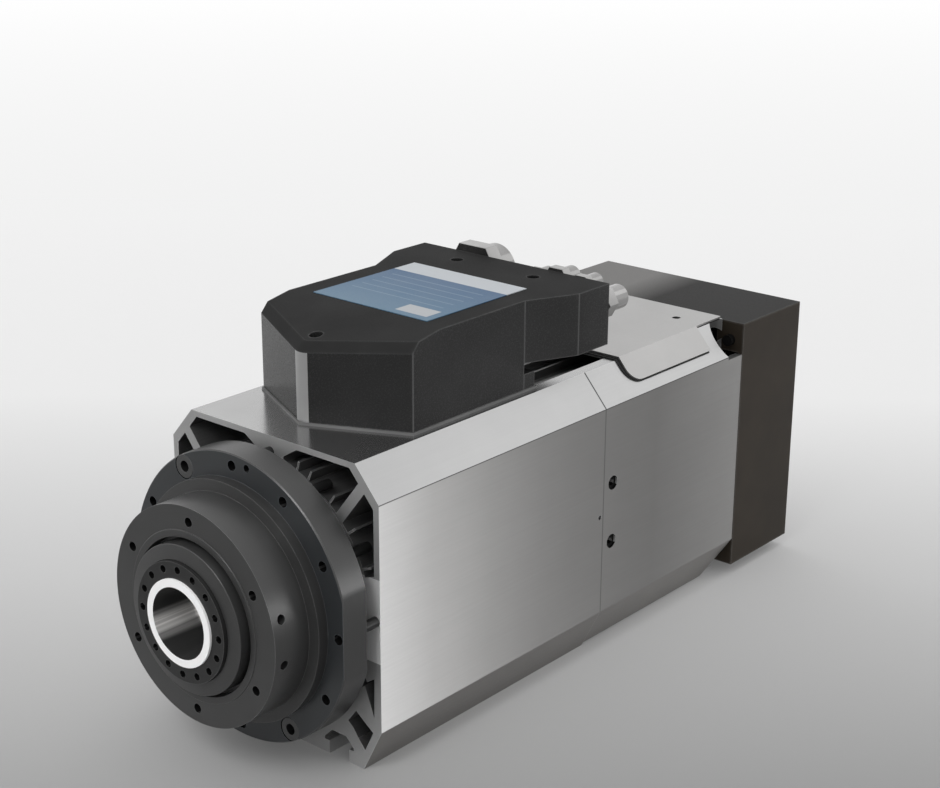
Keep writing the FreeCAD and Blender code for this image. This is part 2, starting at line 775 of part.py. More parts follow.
# Shaft with the hollow taper, the gripper chamber and the spring chamber
shaft = turned(
    "spindle_shaft",
    [
        ("taper_mouth", "0"),
        ("face_ring", "0"),
        ("face_ring", "face_step"),
        ("head_radius", "face_step"),
        ("head_radius", "head_length"),
        ("bearing_inner", "head_length"),
        ("bearing_inner", "rear_bearing_y"),
        ("rear_inner", "rear_bearing_y"),
        ("rear_inner", "shaft_end_y"),
        ("spring_bore", "shaft_end_y"),
        ("spring_bore", "spring_front_y"),
        ("drawbar_radius + slide_gap", "spring_front_y"),
        ("drawbar_radius + slide_gap", "gripper_rear_y"),
        ("gripper_bore", "gripper_rear_y"),
        ("gripper_bore", "taper_depth"),
        ("taper_mouth - taper_depth * taper_slope", "taper_depth"),
    ],
)
balance_hole = cross_section(shaft, "face_step")
circle(balance_hole, "balance_circle", "0", "balance_radius")
around(shaft, pocket(shaft, balance_hole, "balance_depth"), balance_hole, "balance_holes")
turned(
    "tone_wheel",
    band("rear_inner", "rear_inner + wheel_wall", "shaft_end_y - wheel_width", "shaft_end_y"),
)

# Drawbar, gripper segments and the disc springs that pull the drawbar back
turned(
    "drawbar",
    [
        ("0", "cone_front_y"),
        ("cone_radius - 2", "cone_front_y"),
        ("cone_radius", "cone_front_y + 2"),
        ("cone_radius", "gripper_front_y + 6"),
        ("drawbar_radius", "gripper_front_y + 14"),
        ("drawbar_radius", "drawbar_end_y"),
        ("0", "drawbar_end_y"),
    ],
)
SPRING_OUTER = "spring_bore - contact_gap"
turned(
    "drawbar_nut",
    band("drawbar_radius", SPRING_OUTER, "spring_rear_y", "spring_rear_y + draw_nut_length"),
)
turned("disc_springs", band("drawbar_radius + contact_gap", SPRING_OUTER, "spring_front_y", "spring_rear_y"))
gripper = turned(
    "gripper_segments",
    [
        ("cone_radius + 2", "gripper_front_y"),
        ("gripper_bore - contact_gap", "gripper_front_y"),
        ("gripper_bore - contact_gap", "gripper_rear_y"),
        ("drawbar_radius + segment_gap", "gripper_rear_y"),
        ("drawbar_radius + segment_gap", "gripper_front_y + 22"),
        ("cone_radius + 0.8", "gripper_front_y + 14"),
        ("cone_radius + 0.8", "gripper_front_y + 1.2"),
    ],
)
splits = cross_section(gripper, "gripper_front_y")
rectangle(splits, ("0", "-segment_gap / 2"), ("gripper_bore + 1", "segment_gap / 2"))
around(gripper, pocket(gripper, splits, "gripper_length"), splits, "segments")

# Rear bearing plate and its cover
turned(
    "rear_bearing_plate",
    [
        ("rear_outer - seat_lip", "rear_bearing_y - seat_lip"),
        ("tube_bore", "rear_bearing_y - seat_lip"),
        ("tube_bore", "rear_pair_rear_y"),
        ("rear_outer", "rear_pair_rear_y"),
        ("rear_outer", "rear_bearing_y"),
        ("rear_outer - seat_lip", "rear_bearing_y"),
    ],
)
turned(
    "rear_bearing_cover",
    band(
        "rear_outer - seat_lip",
        "rear_outer + 16",
        "rear_pair_rear_y",
        "rear_pair_rear_y + mount_thickness",
    ),
)

# Unclamping cylinder with its piston, seal and cover
turned(
    "unclamp_cylinder",
    [
        ("rod_radius + slide_gap", "cylinder_front_y"),
        ("tube_bore", "cylinder_front_y"),
        ("tube_bore", "cylinder_rear_y"),
        ("cylinder_bore", "cylinder_rear_y"),
        ("cylinder_bore", "cylinder_front_y + cylinder_wall"),
        ("rod_radius + slide_gap", "cylinder_front_y + cylinder_wall"),
    ],
)
turned(
    "piston",
    [
        ("0", "drawbar_end_y + contact_gap"),
        ("rod_radius", "drawbar_end_y + contact_gap"),
        ("rod_radius", "piston_front_y"),
        ("cylinder_bore - slide_gap", "piston_front_y"),
        ("cylinder_bore - slide_gap", "seal_front_y"),
        ("cylinder_bore - seal_depth", "seal_front_y"),
        ("cylinder_bore - seal_depth", "seal_rear_y"),
        ("cylinder_bore - slide_gap", "seal_rear_y"),
        ("cylinder_bore - slide_gap", "piston_rear_y"),
        ("0", "piston_rear_y"),
    ],
)
turned(
    "piston_seal",
    band("cylinder_bore - seal_depth", "cylinder_bore - slide_gap", "seal_front_y", "seal_rear_y"),
)
turned(
    "cylinder_cover",
    [
        ("0", "piston_rear_y + contact_gap"),
        ("cylinder_bore - 3", "piston_rear_y + contact_gap"),
        ("cylinder_bore - 3", "cylinder_rear_y"),
        ("tube_bore", "cylinder_rear_y"),
        ("tube_bore", "cylinder_rear_y + cover_thickness"),
        ("0", "cylinder_rear_y + cover_thickness"),
    ],
)

# Speed sensor over the tone wheel, in its holder
WHEEL_Y = "shaft_end_y - wheel_width / 2"
WHEEL_RADIUS = "(rear_inner + wheel_wall)"
holder = turned(
    "sensor_holder",
    band(WHEEL_RADIUS + " + 3", "tube_bore", "rear_pair_rear_y + mount_thickness", "cylinder_front_y"),
)
sensor_hole = plan(holder, WHEEL_RADIUS)
circle(sensor_hole, "0", WHEEL_Y, "sensor_radius")
pocket(holder, sensor_hole, "tube_bore", True)
sensor = new_body("speed_sensor")
sensor_sketch = plan(sensor, WHEEL_RADIUS + " + 0.4")
circle(sensor_sketch, "0", WHEEL_Y, "sensor_radius")
pad(sensor, sensor_sketch, "tube_bore - 2 - " + WHEEL_RADIUS)

# Rear cover: a deep box open to the front, with corner posts and a round fan opening
cover = new_body("rear_cover")
cover_shell = cross_section(cover, "housing_rear_y")
rectangle(cover_shell, ("-cover_half", "-cover_bottom"), ("cover_half", "cover_top"))
pad_rearward(cover, cover_shell, "cover_length")
cover_room = cross_section(cover, "housing_rear_y")
POST = "(cover_wall + cover_post)"
right_room = [
    ("cover_half - " + POST, "-cover_bottom + cover_wall"),
    ("cover_half - " + POST, "-cover_bottom + " + POST),
    ("cover_half - cover_wall", "-cover_bottom + " + POST),
    ("cover_half - cover_wall", "cover_top - " + POST),
    ("cover_half - " + POST, "cover_top - " + POST),
    ("cover_half - " + POST, "cover_top - cover_wall"),
]
outline(cover_room, right_room + mirrored(right_room[::-1], -1))
pocket(cover, cover_room, "cover_length - cover_wall")
fan_opening = cross_section(cover, "cover_rear_y - cover_wall")
circle(fan_opening, "0", "0", "fan_hole")
pocket(cover, fan_opening, "cover_wall")
screw_holes = cross_section(cover, "housing_rear_y")
COVER_SCREWS = []
for up in ("cover_screw_top", "-cover_screw_low"):
    for side in (1, -1):
        COVER_SCREWS.append(("%d * cover_screw_x" % side, up))
for place in COVER_SCREWS:
    circle(screw_holes, *place, "cover_screw")
pocket(cover, screw_holes, "cover_screw_depth")

cover_screws = new_body("cover_screws")
shanks = cross_section(cover_screws, "housing_rear_y")
heads = cross_section(cover_screws, "housing_rear_y - cover_head_depth")
for place in COVER_SCREWS:
    circle(shanks, *place, "cover_screw")
    circle(heads, *place, "cover_head")
pad_rearward(cover_screws, shanks, "cover_screw_depth")
pad_rearward(cover_screws, heads, "cover_head_depth")

# Fan carrier, fan motor, fan and guard
carrier = new_body("fan_mount")
carrier_sketch = cross_section(carrier, "housing_rear_y")
REACH_X = "cover_half - cover_wall"
REACH_LOW = "cover_bottom - cover_wall"
REACH_TOP = "cover_top - cover_wall"
outline(
    carrier_sketch,
    [
        ("mount_arm", "mount_arm"),
        ("mount_arm", REACH_TOP),
        ("-mount_arm", REACH_TOP),
        ("-mount_arm", "mount_arm"),
        ("-(%s)" % REACH_X, "mount_arm"),
        ("-(%s)" % REACH_X, "-mount_arm"),
        ("-mount_arm", "-mount_arm"),
        ("-mount_arm", "-(%s)" % REACH_LOW),
        ("mount_arm", "-(%s)" % REACH_LOW),
        ("mount_arm", "-mount_arm"),
        (REACH_X, "-mount_arm"),
        (REACH_X, "mount_arm"),
    ],
)
pad_rearward(carrier, carrier_sketch, "mount_thickness")
hub = cross_section(carrier, "housing_rear_y")
circle(hub, "0", "0", "mount_hub")
pad_rearward(carrier, hub, "mount_thickness")
turned(
    "fan_motor",
    [
        ("0", "housing_rear_y + mount_thickness"),
        ("fan_hub + 2", "housing_rear_y + mount_thickness"),
        ("fan_hub + 2", "fan_front_y - 1"),
        ("fan_axle + slide_gap", "fan_front_y - 1"),
        ("fan_axle + slide_gap", "fan_front_y - axle_length - 0.5"),
        ("0", "fan_front_y - axle_length - 0.5"),
    ],
)
fan = new_body("fan")
fan_body = cross_section(fan, "fan_front_y")
circle(fan_body, "0", "0", "fan_hub")
pad_rearward(fan, fan_body, "fan_length")
axle = cross_section(fan, "fan_front_y - axle_length")
circle(axle, "0", "0", "fan_axle")
pad_rearward(fan, axle, "axle_length")
# a blade is a leaning strip that runs from inside the hub out to the fan's radius
blade_sketch = side_view(fan, "fan_hub - 6")
outline(
    blade_sketch,
    [
        ("fan_front_y + 1", "-blade_width / 2"),
        ("fan_front_y + 1 + blade_thickness", "-blade_width / 2"),
        ("fan_rear_y - 1", "blade_width / 2"),
        ("fan_rear_y - 1 - blade_thickness", "blade_width / 2"),
    ],
)
blade = pad(fan, blade_sketch, "fan_radius - fan_hub + 6")
around(fan, blade, fan_body, "fan_blades")

GUARD_SPAN = ("cover_rear_y - cover_wall", "cover_rear_y - guard_gap")
guard_rings = []
for middle in ("fan_hole - guard_wire / 2", "fan_hole * 0.75", "fan_hole * 0.5", "fan_hole * 0.25"):
    guard_rings.append(band(middle + " - guard_wire / 2", middle + " + guard_wire / 2", *GUARD_SPAN))
guard = turned("fan_guard", *guard_rings)
BAR_REACH = ("fan_hole - guard_wire / 2", "guard_wire / 2")
for across, up in (BAR_REACH, BAR_REACH[::-1]):
    bars = cross_section(guard, "cover_rear_y - cover_wall")
    rectangle(bars, ("-(%s)" % across, "-(%s)" % up), (across, up))
    pad_rearward(guard, bars, "cover_wall - guard_gap")


# Terminal box: pointed towards the nose, wider at the rear, hollow from below
def box_plan(sketch, inset, end):
    """The pointed plan of the box, inset by its wall or widened by its rim."""
    right = [
        ("box_half - (%s)" % inset, "box_corner_y + (%s) * 0.6" % inset),
        ("box_half - (%s)" % inset, end),
    ]
    nose = [("0", "box_tip_y + (%s) * 1.1" % inset)]
    outline(sketch, nose + right + mirrored(right[::-1], -1))


def edges_where(shape, test):
    """The names of the edges whose two ends pass the test."""
    names = []
    for index, edge in enumerate(shape.Edges, start=1):
        if all(test(vertex.Point) for vertex in edge.Vertexes):
            names.append("Edge%d" % index)
    return names


def dress(body, kind, base, names, prop, size):
    """A fillet or a chamfer on the named edges."""
    feature = body.newObject("PartDesign::" + kind, body.Name + "_" + kind.lower())
    feature.Base = (base, names)
    tie(feature, prop, size)
    doc.recompute()
    return feature


box = new_body("terminal_box")
box_sketch = plan(box, "box_base_z")
box_plan(box_sketch, "0", "box_neck_y")
prism = pad(box, box_sketch, "box_top_z - box_base_z")
doc.recompute()
tip_edge = edges_where(prism.Shape, lambda p: p.y < value("box_tip_y + 0.1"))
dress(box, "Fillet", prism, tip_edge, "Radius", "box_tip_radius")
foot = plan(box, "box_base_z")
rectangle(foot, ("-box_half", "box_neck_y - 5"), ("box_half", "box_foot_y"))
pad(box, foot, "box_foot_z - box_base_z")
wide = plan(box, "box_wide_z")
wide_right = [
    ("box_half", "box_neck_y - 5"),
    ("box_half", "box_neck_y"),
    ("box_wide_half", "box_wide_y"),
    ("box_wide_half", "box_rear_y"),
]
outline(wide, wide_right + mirrored(wide_right[::-1], -1))
pad(box, wide, "box_top_z - box_wide_z")
ramp = side_view(box, "box_half + 5")
outline(
    ramp,
    [
        ("ramp_y", "box_top_z"),
        ("ramp_y", "box_top_z + 1"),
        ("box_tip_y - 1", "box_top_z + 1"),
        ("box_tip_y - 1", "box_top_z - ramp_drop"),
    ],
)
pocket(box, ramp, "2 * box_half + 10")
doc.recompute()
ramp_edges = edges_where(
    box.Tip.Shape,
    lambda p: p.z > value("box_top_z - ramp_drop - 2") and p.y < value("box_corner_y + 1"),
)
dress(box, "Chamfer", box.Tip, ramp_edges, "Size", "box_edge")
box_room = plan(box, "box_base_z")
box_plan(box_room, "box_wall", "box_neck_y - box_wall")
pocket(box, box_room, "box_top_z - ramp_drop - box_wall - box_edge - box_base_z", True)
BOX_SCREWS = [
    ("0", "box_tip_y + box_screw_tip"),
    ("box_screw_x", "box_rear_y - box_screw_gap"),
    ("-box_screw_x", "box_rear_y - box_screw_gap"),
]
seats = plan(box, "box_top_z")
for place in BOX_SCREWS:
    circle(seats, *place, "box_screw")
pocket(box, seats, "box_screw_depth")

box_screws = new_body("box_screws")
screw_bodies = plan(box_screws, "box_top_z - box_screw_depth")
screw_sockets = plan(box_screws, "box_top_z - box_screw_depth + 2")
for place in BOX_SCREWS:
    circle(screw_bodies, *place, "box_screw")
    circle(screw_sockets, *place, "box_screw * 0.45")
pad(box_screws, screw_bodies, "2")
pocket(box_screws, screw_sockets, "1.4")

gasket = new_body("box_gasket")
gasket_sketch = plan(gasket, "top_z")
box_plan(gasket_sketch, "-rim", "box_foot_y + rim")
pad(gasket, gasket_sketch, "box_base")
gasket_hole = plan(gasket, "top_z")
circle(gasket_hole, "0", "box_tip_y + cable_hole_inset", "cable_hole")
pocket(gasket, gasket_hole, "box_base", True)

block = new_body("terminal_block")
block_sketch = plan(block, "box_base_z")
BLOCK_START = "box_tip_y + block_inset"
rectangle(block_sketch, ("-block_half", BLOCK_START), ("block_half", BLOCK_START + " + block_length"))
pad(block, block_sketch, "block_height")

label = new_body("label_plate")
label_sketch = plan(label, "box_top_z")
LABEL_START = "ramp_y + label_inset"
rectangle(label_sketch, ("-label_half", LABEL_START), ("label_half", LABEL_START + " + label_length"))
pad(label, label_sketch, "label_thickness")


# Glands and fittings on the rear face of the terminal box
def hexagon(sketch, across, up, flats):
    """A hexagon with two flat sides above and below."""
    reach = "%s / 2 / cos(30)" % flats
    corners = [("cos(%d)" % angle, "sin(%d)" % angle) for angle in range(0, 360, 60)]
    points = [("%s + %s * %s" % (across, reach, a), "%s + %s * %s" % (up, reach, b)) for a, b in corners]
    outline(sketch, points)


def fitting(name, across, up, flats, hex_length, radius, length, bore):
    """A hexagon seated on the box and a round sleeve behind it, open at its end."""
    body = new_body(name)
    base = cross_section(body, "box_rear_y")
    hexagon(base, across, up, flats)
    pad_rearward(body, base, hex_length)
    sleeve = cross_section(body, "box_rear_y + " + hex_length)
    circle(sleeve, across, up, radius)
    pad_rearward(body, sleeve, length)
    mouth = cross_section(body, "box_rear_y + %s + %s" % (hex_length, length))
    circle(mouth, across, up, bore)
    pocket(body, mouth, length, True)
    return body


fitting(
    "power_gland",
    "-power_x",
    "gland_z",
    flats="35",
    hex_length="10",
    radius="14.5",
    length="13",
    bore="8",
)
fitting(
    "signal_connector",
    "signal_x",
    "gland_z",
    flats="16",
    hex_length="8",
    radius="7",
    length="12",
    bore="4",
)
fitting(
    "air_fitting_small",
    "air_small_x",
    "gland_z + air_small_rise",
    flats="12",
    hex_length="6",
    radius="5",
    length="9",
    bore="3",
)
fitting(
    "air_fitting_large",
    "air_large_x",
    "gland_z + air_large_rise",
    flats="16",
    hex_length="6",
    radius="6.5",
    length="10",
    bore="4",
)
fitting(
    "coolant_fitting",
    "coolant_x",
    "gland_z + coolant_rise",
    flats="12",
    hex_length="5",
    radius="5",
    length="10",
    bore="3",
)


# Access plate over the rear housing's opening: a sheet bent down over the shoulder, on a rubber seal
def bent_sheet(name, base, thickness, front, rear, flap, flap_rear, corner):
    """A sheet laid at a height over the housing; its flap on the shoulder has a round lower front corner."""
    body = new_body(name)
    flat = cross_section(body, front)
    rectangle(flat, ("-top_half", "top_z + " + base), ("top_half", "top_z + %s + %s" % (base, thickness)))
    pad_rearward(body, flat, "%s - (%s)" % (rear, front))
    section = []
    for height in (base, "(%s + %s)" % (base, thickness)):
        bend = ("top_half + %s * (1 - slope_x) / slope_z" % height, "top_z + " + height)
        lower = (
            "top_half + (%s) * slope_x + %s * slope_z" % (flap, height),
            "top_z - (%s) * slope_z + %s * slope_x" % (flap, height),
        )
        section.append([("top_half - 1", "top_z + " + height), bend, lower])
    bent = cross_section(body, front)
    outline(bent, section[0] + section[1][::-1])
    leaf = pad_rearward(body, bent, "%s - (%s)" % (flap_rear, front))
    doc.recompute()
    lower_front = edges_where(
        leaf.Shape,
        lambda p: p.y < value(front + " + 0.1") and p.z < value("top_z - (%s) * slope_z * 0.8" % flap),
    )
    dress(body, "Fillet", leaf, lower_front, "Radius", corner)
    return body


PLATE_FLAP_REAR = "plate_front_y + plate_flap_length"
PLATE_SCREWS = []
for side in (1, -1):
    PLATE_SCREWS.append(("%d * plate_hole_x" % side, "plate_rear_y - plate_hole_gap"))
seal = bent_sheet(
    "plate_seal",
    "0",
    "seal_thickness",
    "(plate_front_y - seal_rim)",
    "(plate_rear_y - seal_low_rim)",
    "plate_flap + seal_low_rim",
    "(%s - seal_low_rim)" % PLATE_FLAP_REAR,
    "plate_corner + seal_rim",
)
plate = bent_sheet(
    "access_plate",
    "seal_thickness",
    "plate_thickness",
    "plate_front_y",
    "plate_rear_y",
    "plate_flap",
    "(%s)" % PLATE_FLAP_REAR,
    "plate_corner",
)
plate_holes = plan(plate, "top_z + seal_thickness + plate_thickness")
plate_screws = new_body("plate_screws")
plate_heads = plan(plate_screws, "top_z + seal_thickness")
for place in PLATE_SCREWS:
    circle(plate_holes, *place, "plate_hole")
    circle(plate_heads, *place, "plate_hole")
pocket(plate, plate_holes, "plate_thickness")
pad(plate_screws, plate_heads, "plate_thickness - 0.5")

doc.recompute()

# Every feature has to be sound, and every pocket has to have cut something, before anything is written
for thing in doc.Objects:
    if "Invalid" in thing.State or "Error" in thing.State:
        raise RuntimeError("%s failed: %s" % (thing.Name, thing.State))
for part_body in nodes:
    if part_body.Shape.isNull() or not part_body.Shape.isValid() or not part_body.Shape.Solids:
        raise RuntimeError("%s has no sound shape" % part_body.Label)
    volume = 0.0
    for feature in part_body.Group:
        if feature.isDerivedFrom("PartDesign::Feature"):
            if abs(feature.Shape.Volume - volume) < 1e-3:
                raise RuntimeError("%s changes nothing" % feature.Name)
            volume = feature.Shape.Volume

os.makedirs("parts", exist_ok=True)
for part_body in nodes:
    part_body.Shape.exportStep(os.path.join("parts", part_body.Label + ".step"))
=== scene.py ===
import json
import math

import bmesh
import bpy
from mathutils import Matrix, Vector

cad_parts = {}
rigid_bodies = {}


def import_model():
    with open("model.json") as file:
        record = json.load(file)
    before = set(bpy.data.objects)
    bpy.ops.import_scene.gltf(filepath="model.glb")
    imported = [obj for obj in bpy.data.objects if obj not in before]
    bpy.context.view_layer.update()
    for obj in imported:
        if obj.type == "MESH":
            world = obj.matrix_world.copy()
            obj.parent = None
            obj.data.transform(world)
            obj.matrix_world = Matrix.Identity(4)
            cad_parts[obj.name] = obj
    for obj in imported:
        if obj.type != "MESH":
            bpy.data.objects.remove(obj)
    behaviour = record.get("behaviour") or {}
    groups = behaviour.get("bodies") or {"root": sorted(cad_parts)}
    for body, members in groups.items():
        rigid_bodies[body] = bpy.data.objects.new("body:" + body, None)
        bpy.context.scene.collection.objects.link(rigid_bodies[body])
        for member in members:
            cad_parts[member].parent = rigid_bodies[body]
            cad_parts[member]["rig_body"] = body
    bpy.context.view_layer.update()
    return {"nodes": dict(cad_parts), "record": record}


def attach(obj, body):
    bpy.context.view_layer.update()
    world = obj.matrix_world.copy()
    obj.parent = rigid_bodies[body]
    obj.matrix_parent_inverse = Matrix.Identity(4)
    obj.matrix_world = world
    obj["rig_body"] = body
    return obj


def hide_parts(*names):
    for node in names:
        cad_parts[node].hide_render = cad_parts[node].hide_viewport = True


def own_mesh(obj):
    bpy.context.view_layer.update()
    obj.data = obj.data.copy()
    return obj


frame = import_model()

# Places and widths in this file are in mm unless they are multiplied by this already
MM = 0.001


def put(name, data):
    """An object with this data, linked to the scene."""
    made = bpy.data.objects.new(name, data)
    bpy.context.scene.collection.objects.link(made)
    return made


def put_form(name, form, finish):
    """An object with the mesh that a bmesh holds, in one finish."""
    mesh = bpy.data.meshes.new(name)
    form.to_mesh(mesh)
    form.free()
    mesh.materials.append(finish)
    return put(name, mesh)


# Camera: the photograph's view, with the spindle's nose to the left front

CAMERA_PLACE = Vector((0.63383, -0.52299, 0.40197))
CAMERA_RIGHT = Vector((0.76034, 0.64951, 0.00423))
CAMERA_UP = Vector((-0.21636, 0.24713, 0.94452))
CAMERA_LENS = 69.63
CAMERA_SENSOR = 36
CAMERA_REACH = 30


def place_camera():
    """The camera at the photograph's viewing angle."""
    data = bpy.data.cameras.new("camera")
    data.lens = CAMERA_LENS
    data.sensor_width = CAMERA_SENSOR
    data.clip_end = CAMERA_REACH
    turn = Matrix((CAMERA_RIGHT, CAMERA_UP, CAMERA_RIGHT.cross(CAMERA_UP))).transposed()
    camera = put("camera", data)
    camera.matrix_world = Matrix.Translation(CAMERA_PLACE) @ turn.to_4x4()
    bpy.context.scene.camera = camera


# Shader helpers


def set_inputs(tree, made, inputs):
    """A node's inputs, linked to sockets or set to values."""
    for key, setting in inputs.items():
        if isinstance(setting, bpy.types.NodeSocket):
            tree.links.new(setting, made.inputs[key])
        else:
            made.inputs[key].default_value = setting


def new_group(name, inputs, outputs):
    """An empty node group with named number sockets."""
    group = bpy.data.node_groups.new(name, "ShaderNodeTree")
    for label, default in inputs.items():
        socket = group.interface.new_socket(label, in_out="INPUT", socket_type="NodeSocketFloat")
        socket.default_value = default
    for label in outputs:
        group.interface.new_socket(label, in_out="OUTPUT", socket_type="NodeSocketFloat")
    entry = group.nodes.new("NodeGroupInput")
    leave = group.nodes.new("NodeGroupOutput")
    return group, entry.outputs, leave


def node(tree, kind, inputs=None, **settings):
    """A shader node with settings; its inputs are given by a socket's name or number."""
    made = tree.nodes.new("ShaderNode" + kind)
    for key, setting in settings.items():
        setattr(made, key, setting)
    set_inputs(tree, made, inputs or {})
    return made


def math_node(tree, operation, *values):
    """The output of a math node on values or sockets."""
    return node(tree, "Math", dict(enumerate(values)), operation=operation).outputs[0]


def blended(tree, factor, low, high):
    """A colour between two colours."""
    return node(tree, "Mix", {0: factor, 6: low, 7: high}, data_type="RGBA").outputs[2]


def spread(tree, amount, low, high, new_low=0.0, new_high=1.0):
    """A value moved from one range to another, held at its ends."""
    return node(tree, "MapRange", {0: amount, 1: low, 2: high, 3: new_low, 4: new_high}).outputs[0]


NOISE_LOW = 0.3
NOISE_HIGH = 0.7


def wandering(tree, noise, low, high):
    """A value that wanders between two limits as a noise does."""
    return spread(tree, noise, NOISE_LOW, NOISE_HIGH, low, high)


def object_place(tree):
    """The place of a surface point in object space."""
    return node(tree, "TexCoord").outputs["Object"]


def axes(tree):
    """The three object coordinates of a surface point."""
    return node(tree, "SeparateXYZ", {0: object_place(tree)}).outputs


def within(tree, amount, low, high, soft=0.2):
    """A mask that is 1 where a value lies between two limits in mm."""
    above = spread(tree, amount, (low - soft) * MM, (low + soft) * MM)
    below = spread(tree, amount, (high - soft) * MM, (high + soft) * MM, 1.0, 0.0)
    return math_node(tree, "MULTIPLY", above, below)


PATCH_SOFT = 0.15


def patched(tree, colour, patches):
    """A colour with other tones in boxes of object space.

    A patch has the limits for X, Y and Z in mm, or None for any, and then its tone.
    """
    for *limits, ink in patches:
        mask = 1.0
        for place, limit in zip(axes(tree), limits):
            if limit:
                mask = math_node(tree, "MULTIPLY", mask, within(tree, place, *limit, PATCH_SOFT))
        colour = blended(tree, mask, colour, ink)
    return colour


def ramped(tree, amount, stops):
    """A colour ramp over a value; each stop is a value with its colour."""
    first, last = stops[0][0], stops[-1][0]
    ramp = node(tree, "ValToRGB", {0: spread(tree, amount, first, last)})
    bands = ramp.color_ramp.elements
    for value, colour in stops[1:-1]:
        bands.new((value - first) / (last - first))
    for band, (value, colour) in zip(bands, stops):
        band.color = colour
    return ramp.outputs[0]


def grey(level, warm=0.0):
    """A linear grey, a little warmer or cooler."""
    return (level * (1 + warm), level, level * (1 - warm), 1)


# Shared effects

CLOUD_SCALE = 22.0
DRAWN_SCALE = (900.0, 14.0, 900.0)
EDGE_BEND = (0.995, 0.80)
WEAR_AND_SHEEN_SCALE = 160.0
WEAR_AND_SHEEN_RANGE = (0.35, 0.65)


def make_grain_group():
    """Fine grain and slow cloudiness over a surface, and streaks along Y for drawn metal."""
    group, entry, leave = new_group("surface_grain", {"Grain size": 900.0}, ("Grain", "Clouds", "Streaks"))
    place = object_place(group)
    drawn = node(group, "Mapping", {"Vector": place, "Scale": DRAWN_SCALE}).outputs[0]
    noises = {
        "Grain": {"Vector": place, "Scale": entry["Grain size"], "Detail": 3.0},
        "Clouds": {"Vector": place, "Scale": CLOUD_SCALE, "Detail": 3.0, "Roughness": 0.6},
        "Streaks": {"Vector": drawn, "Scale": 1.0, "Detail": 4.0},
    }
    for label, noise in noises.items():
        set_inputs(group, leave, {label: node(group, "TexNoise", noise).outputs["Fac"]})
    return group


def make_edge_group():
    """A mask of the outer edges, where handling polishes or wears a surface and where a highlight is painted.
    """
    group, entry, leave = new_group("edge_wear_and_sheen", {"Reach": 0.0006, "Broken": 0.3}, ["Edge"])
    soft = node(group, "Bevel", {"Radius": entry["Reach"]}, samples=6).outputs[0]
    flat = node(group, "NewGeometry").outputs["Normal"]
    turn = node(group, "VectorMath", {0: soft, 1: flat}, operation="DOT_PRODUCT").outputs["Value"]
    patches = node(group, "TexNoise", {"Vector": object_place(group), "Scale": WEAR_AND_SHEEN_SCALE, "Detail": 3.0})
    wear_and_sheen = math_node(group, "MULTIPLY", spread(group, patches.outputs["Fac"], *WEAR_AND_SHEEN_RANGE), entry["Broken"])
    share = math_node(group, "ADD", wear_and_sheen, math_node(group, "SUBTRACT", 1.0, entry["Broken"]))
    set_inputs(group, leave, {"Edge": math_node(group, "MULTIPLY", spread(group, turn, *EDGE_BEND), share)})
    return group


def make_lathe_group():
    """Fine tool marks of a lathe: rings around the spindle's axis."""
    group, entry, leave = new_group("lathe_marks", {"Pitch": 0.0005, "Depth": 1.0}, ["Marks"])
    across, along, up = axes(group)
    across_square = math_node(group, "MULTIPLY", across, across)
    up_square = math_node(group, "MULTIPLY", up, up)
    radius = math_node(group, "SQRT", math_node(group, "ADD", across_square, up_square))
    turns = math_node(group, "DIVIDE", math_node(group, "ADD", radius, along), entry["Pitch"])
    rings = node(group, "TexNoise", {"W": turns, "Scale": 1.0, "Detail": 3.0}, noise_dimensions="1D")
    set_inputs(group, leave, {"Marks": math_node(group, "MULTIPLY", rings.outputs[0], entry["Depth"])})
    return group


GRAIN = make_grain_group()
EDGES = make_edge_group()
LATHE = make_lathe_group()


def placed(tree, group, inputs):
    """The outputs of a group that is placed in a material with its own values."""
    made = tree.nodes.new("ShaderNodeGroup")
    made.node_tree = group
    set_inputs(tree, made, inputs)
    return made.outputs


def edged(tree, colour, ink, share, reach):
    """A colour with another tone on its edges, for wear and a painted highlight: the tone, its share and the
    edges' width in mm.
    """
    wear_and_sheen = placed(tree, EDGES, {"Reach": reach * MM})["Edge"]
    return blended(tree, math_node(tree, "MULTIPLY", wear_and_sheen, share), colour, ink)


def new_material(name):
    """A material with its tree and its principled shader."""
    material = bpy.data.materials.new(name)
    material.use_nodes = True
    return material, material.node_tree, material.node_tree.nodes["Principled BSDF"]


TONE_LOW = 0.35
TONE_HIGH = 0.65


def finish_surface(
    name, base, light, rough, metallic, edge,
    streak=0.0, grain=0.02, bump=0.1, lathe=0.0, level=0.5, reach=0.6, patches=(),
):
    """A surface whose colour drifts between two tones, with grain, streaks, tool marks, and edges lighter
    from wear and a painted highlight.

    edge is the tone of the edges and its share, reach their width in mm, and grain the relief in mm.
    """
    material, tree, shader = new_material(name)
    fine = placed(tree, GRAIN, {"Grain size": 1400.0})
    tone = math_node(tree, "MULTIPLY_ADD", fine["Streaks"], streak, fine["Clouds"])
    height = math_node(tree, "MULTIPLY_ADD", fine["Streaks"], streak, fine["Grain"])
    if lathe:
        marks = placed(tree, LATHE, {"Depth": lathe})["Marks"]
        tone = math_node(tree, "ADD", tone, marks)
        height = math_node(tree, "ADD", height, marks)
    colour = blended(tree, spread(tree, tone, TONE_LOW, TONE_HIGH + streak + lathe), base, light)
    colour = edged(tree, colour, *edge, reach)
    raised = node(tree, "Bump", {"Height": height, "Strength": bump, "Distance": grain * MM})
    set_inputs(tree, shader, {
        "Base Color": patched(tree, colour, patches),
        "Roughness": wandering(tree, fine["Grain"], rough * 0.92, rough * 1.12),
        "Metallic": metallic,
        "Specular IOR Level": level,
        "Normal": raised.outputs[0],
    })
    return material


# Finishes of metal

SEAM_Y = 249.9
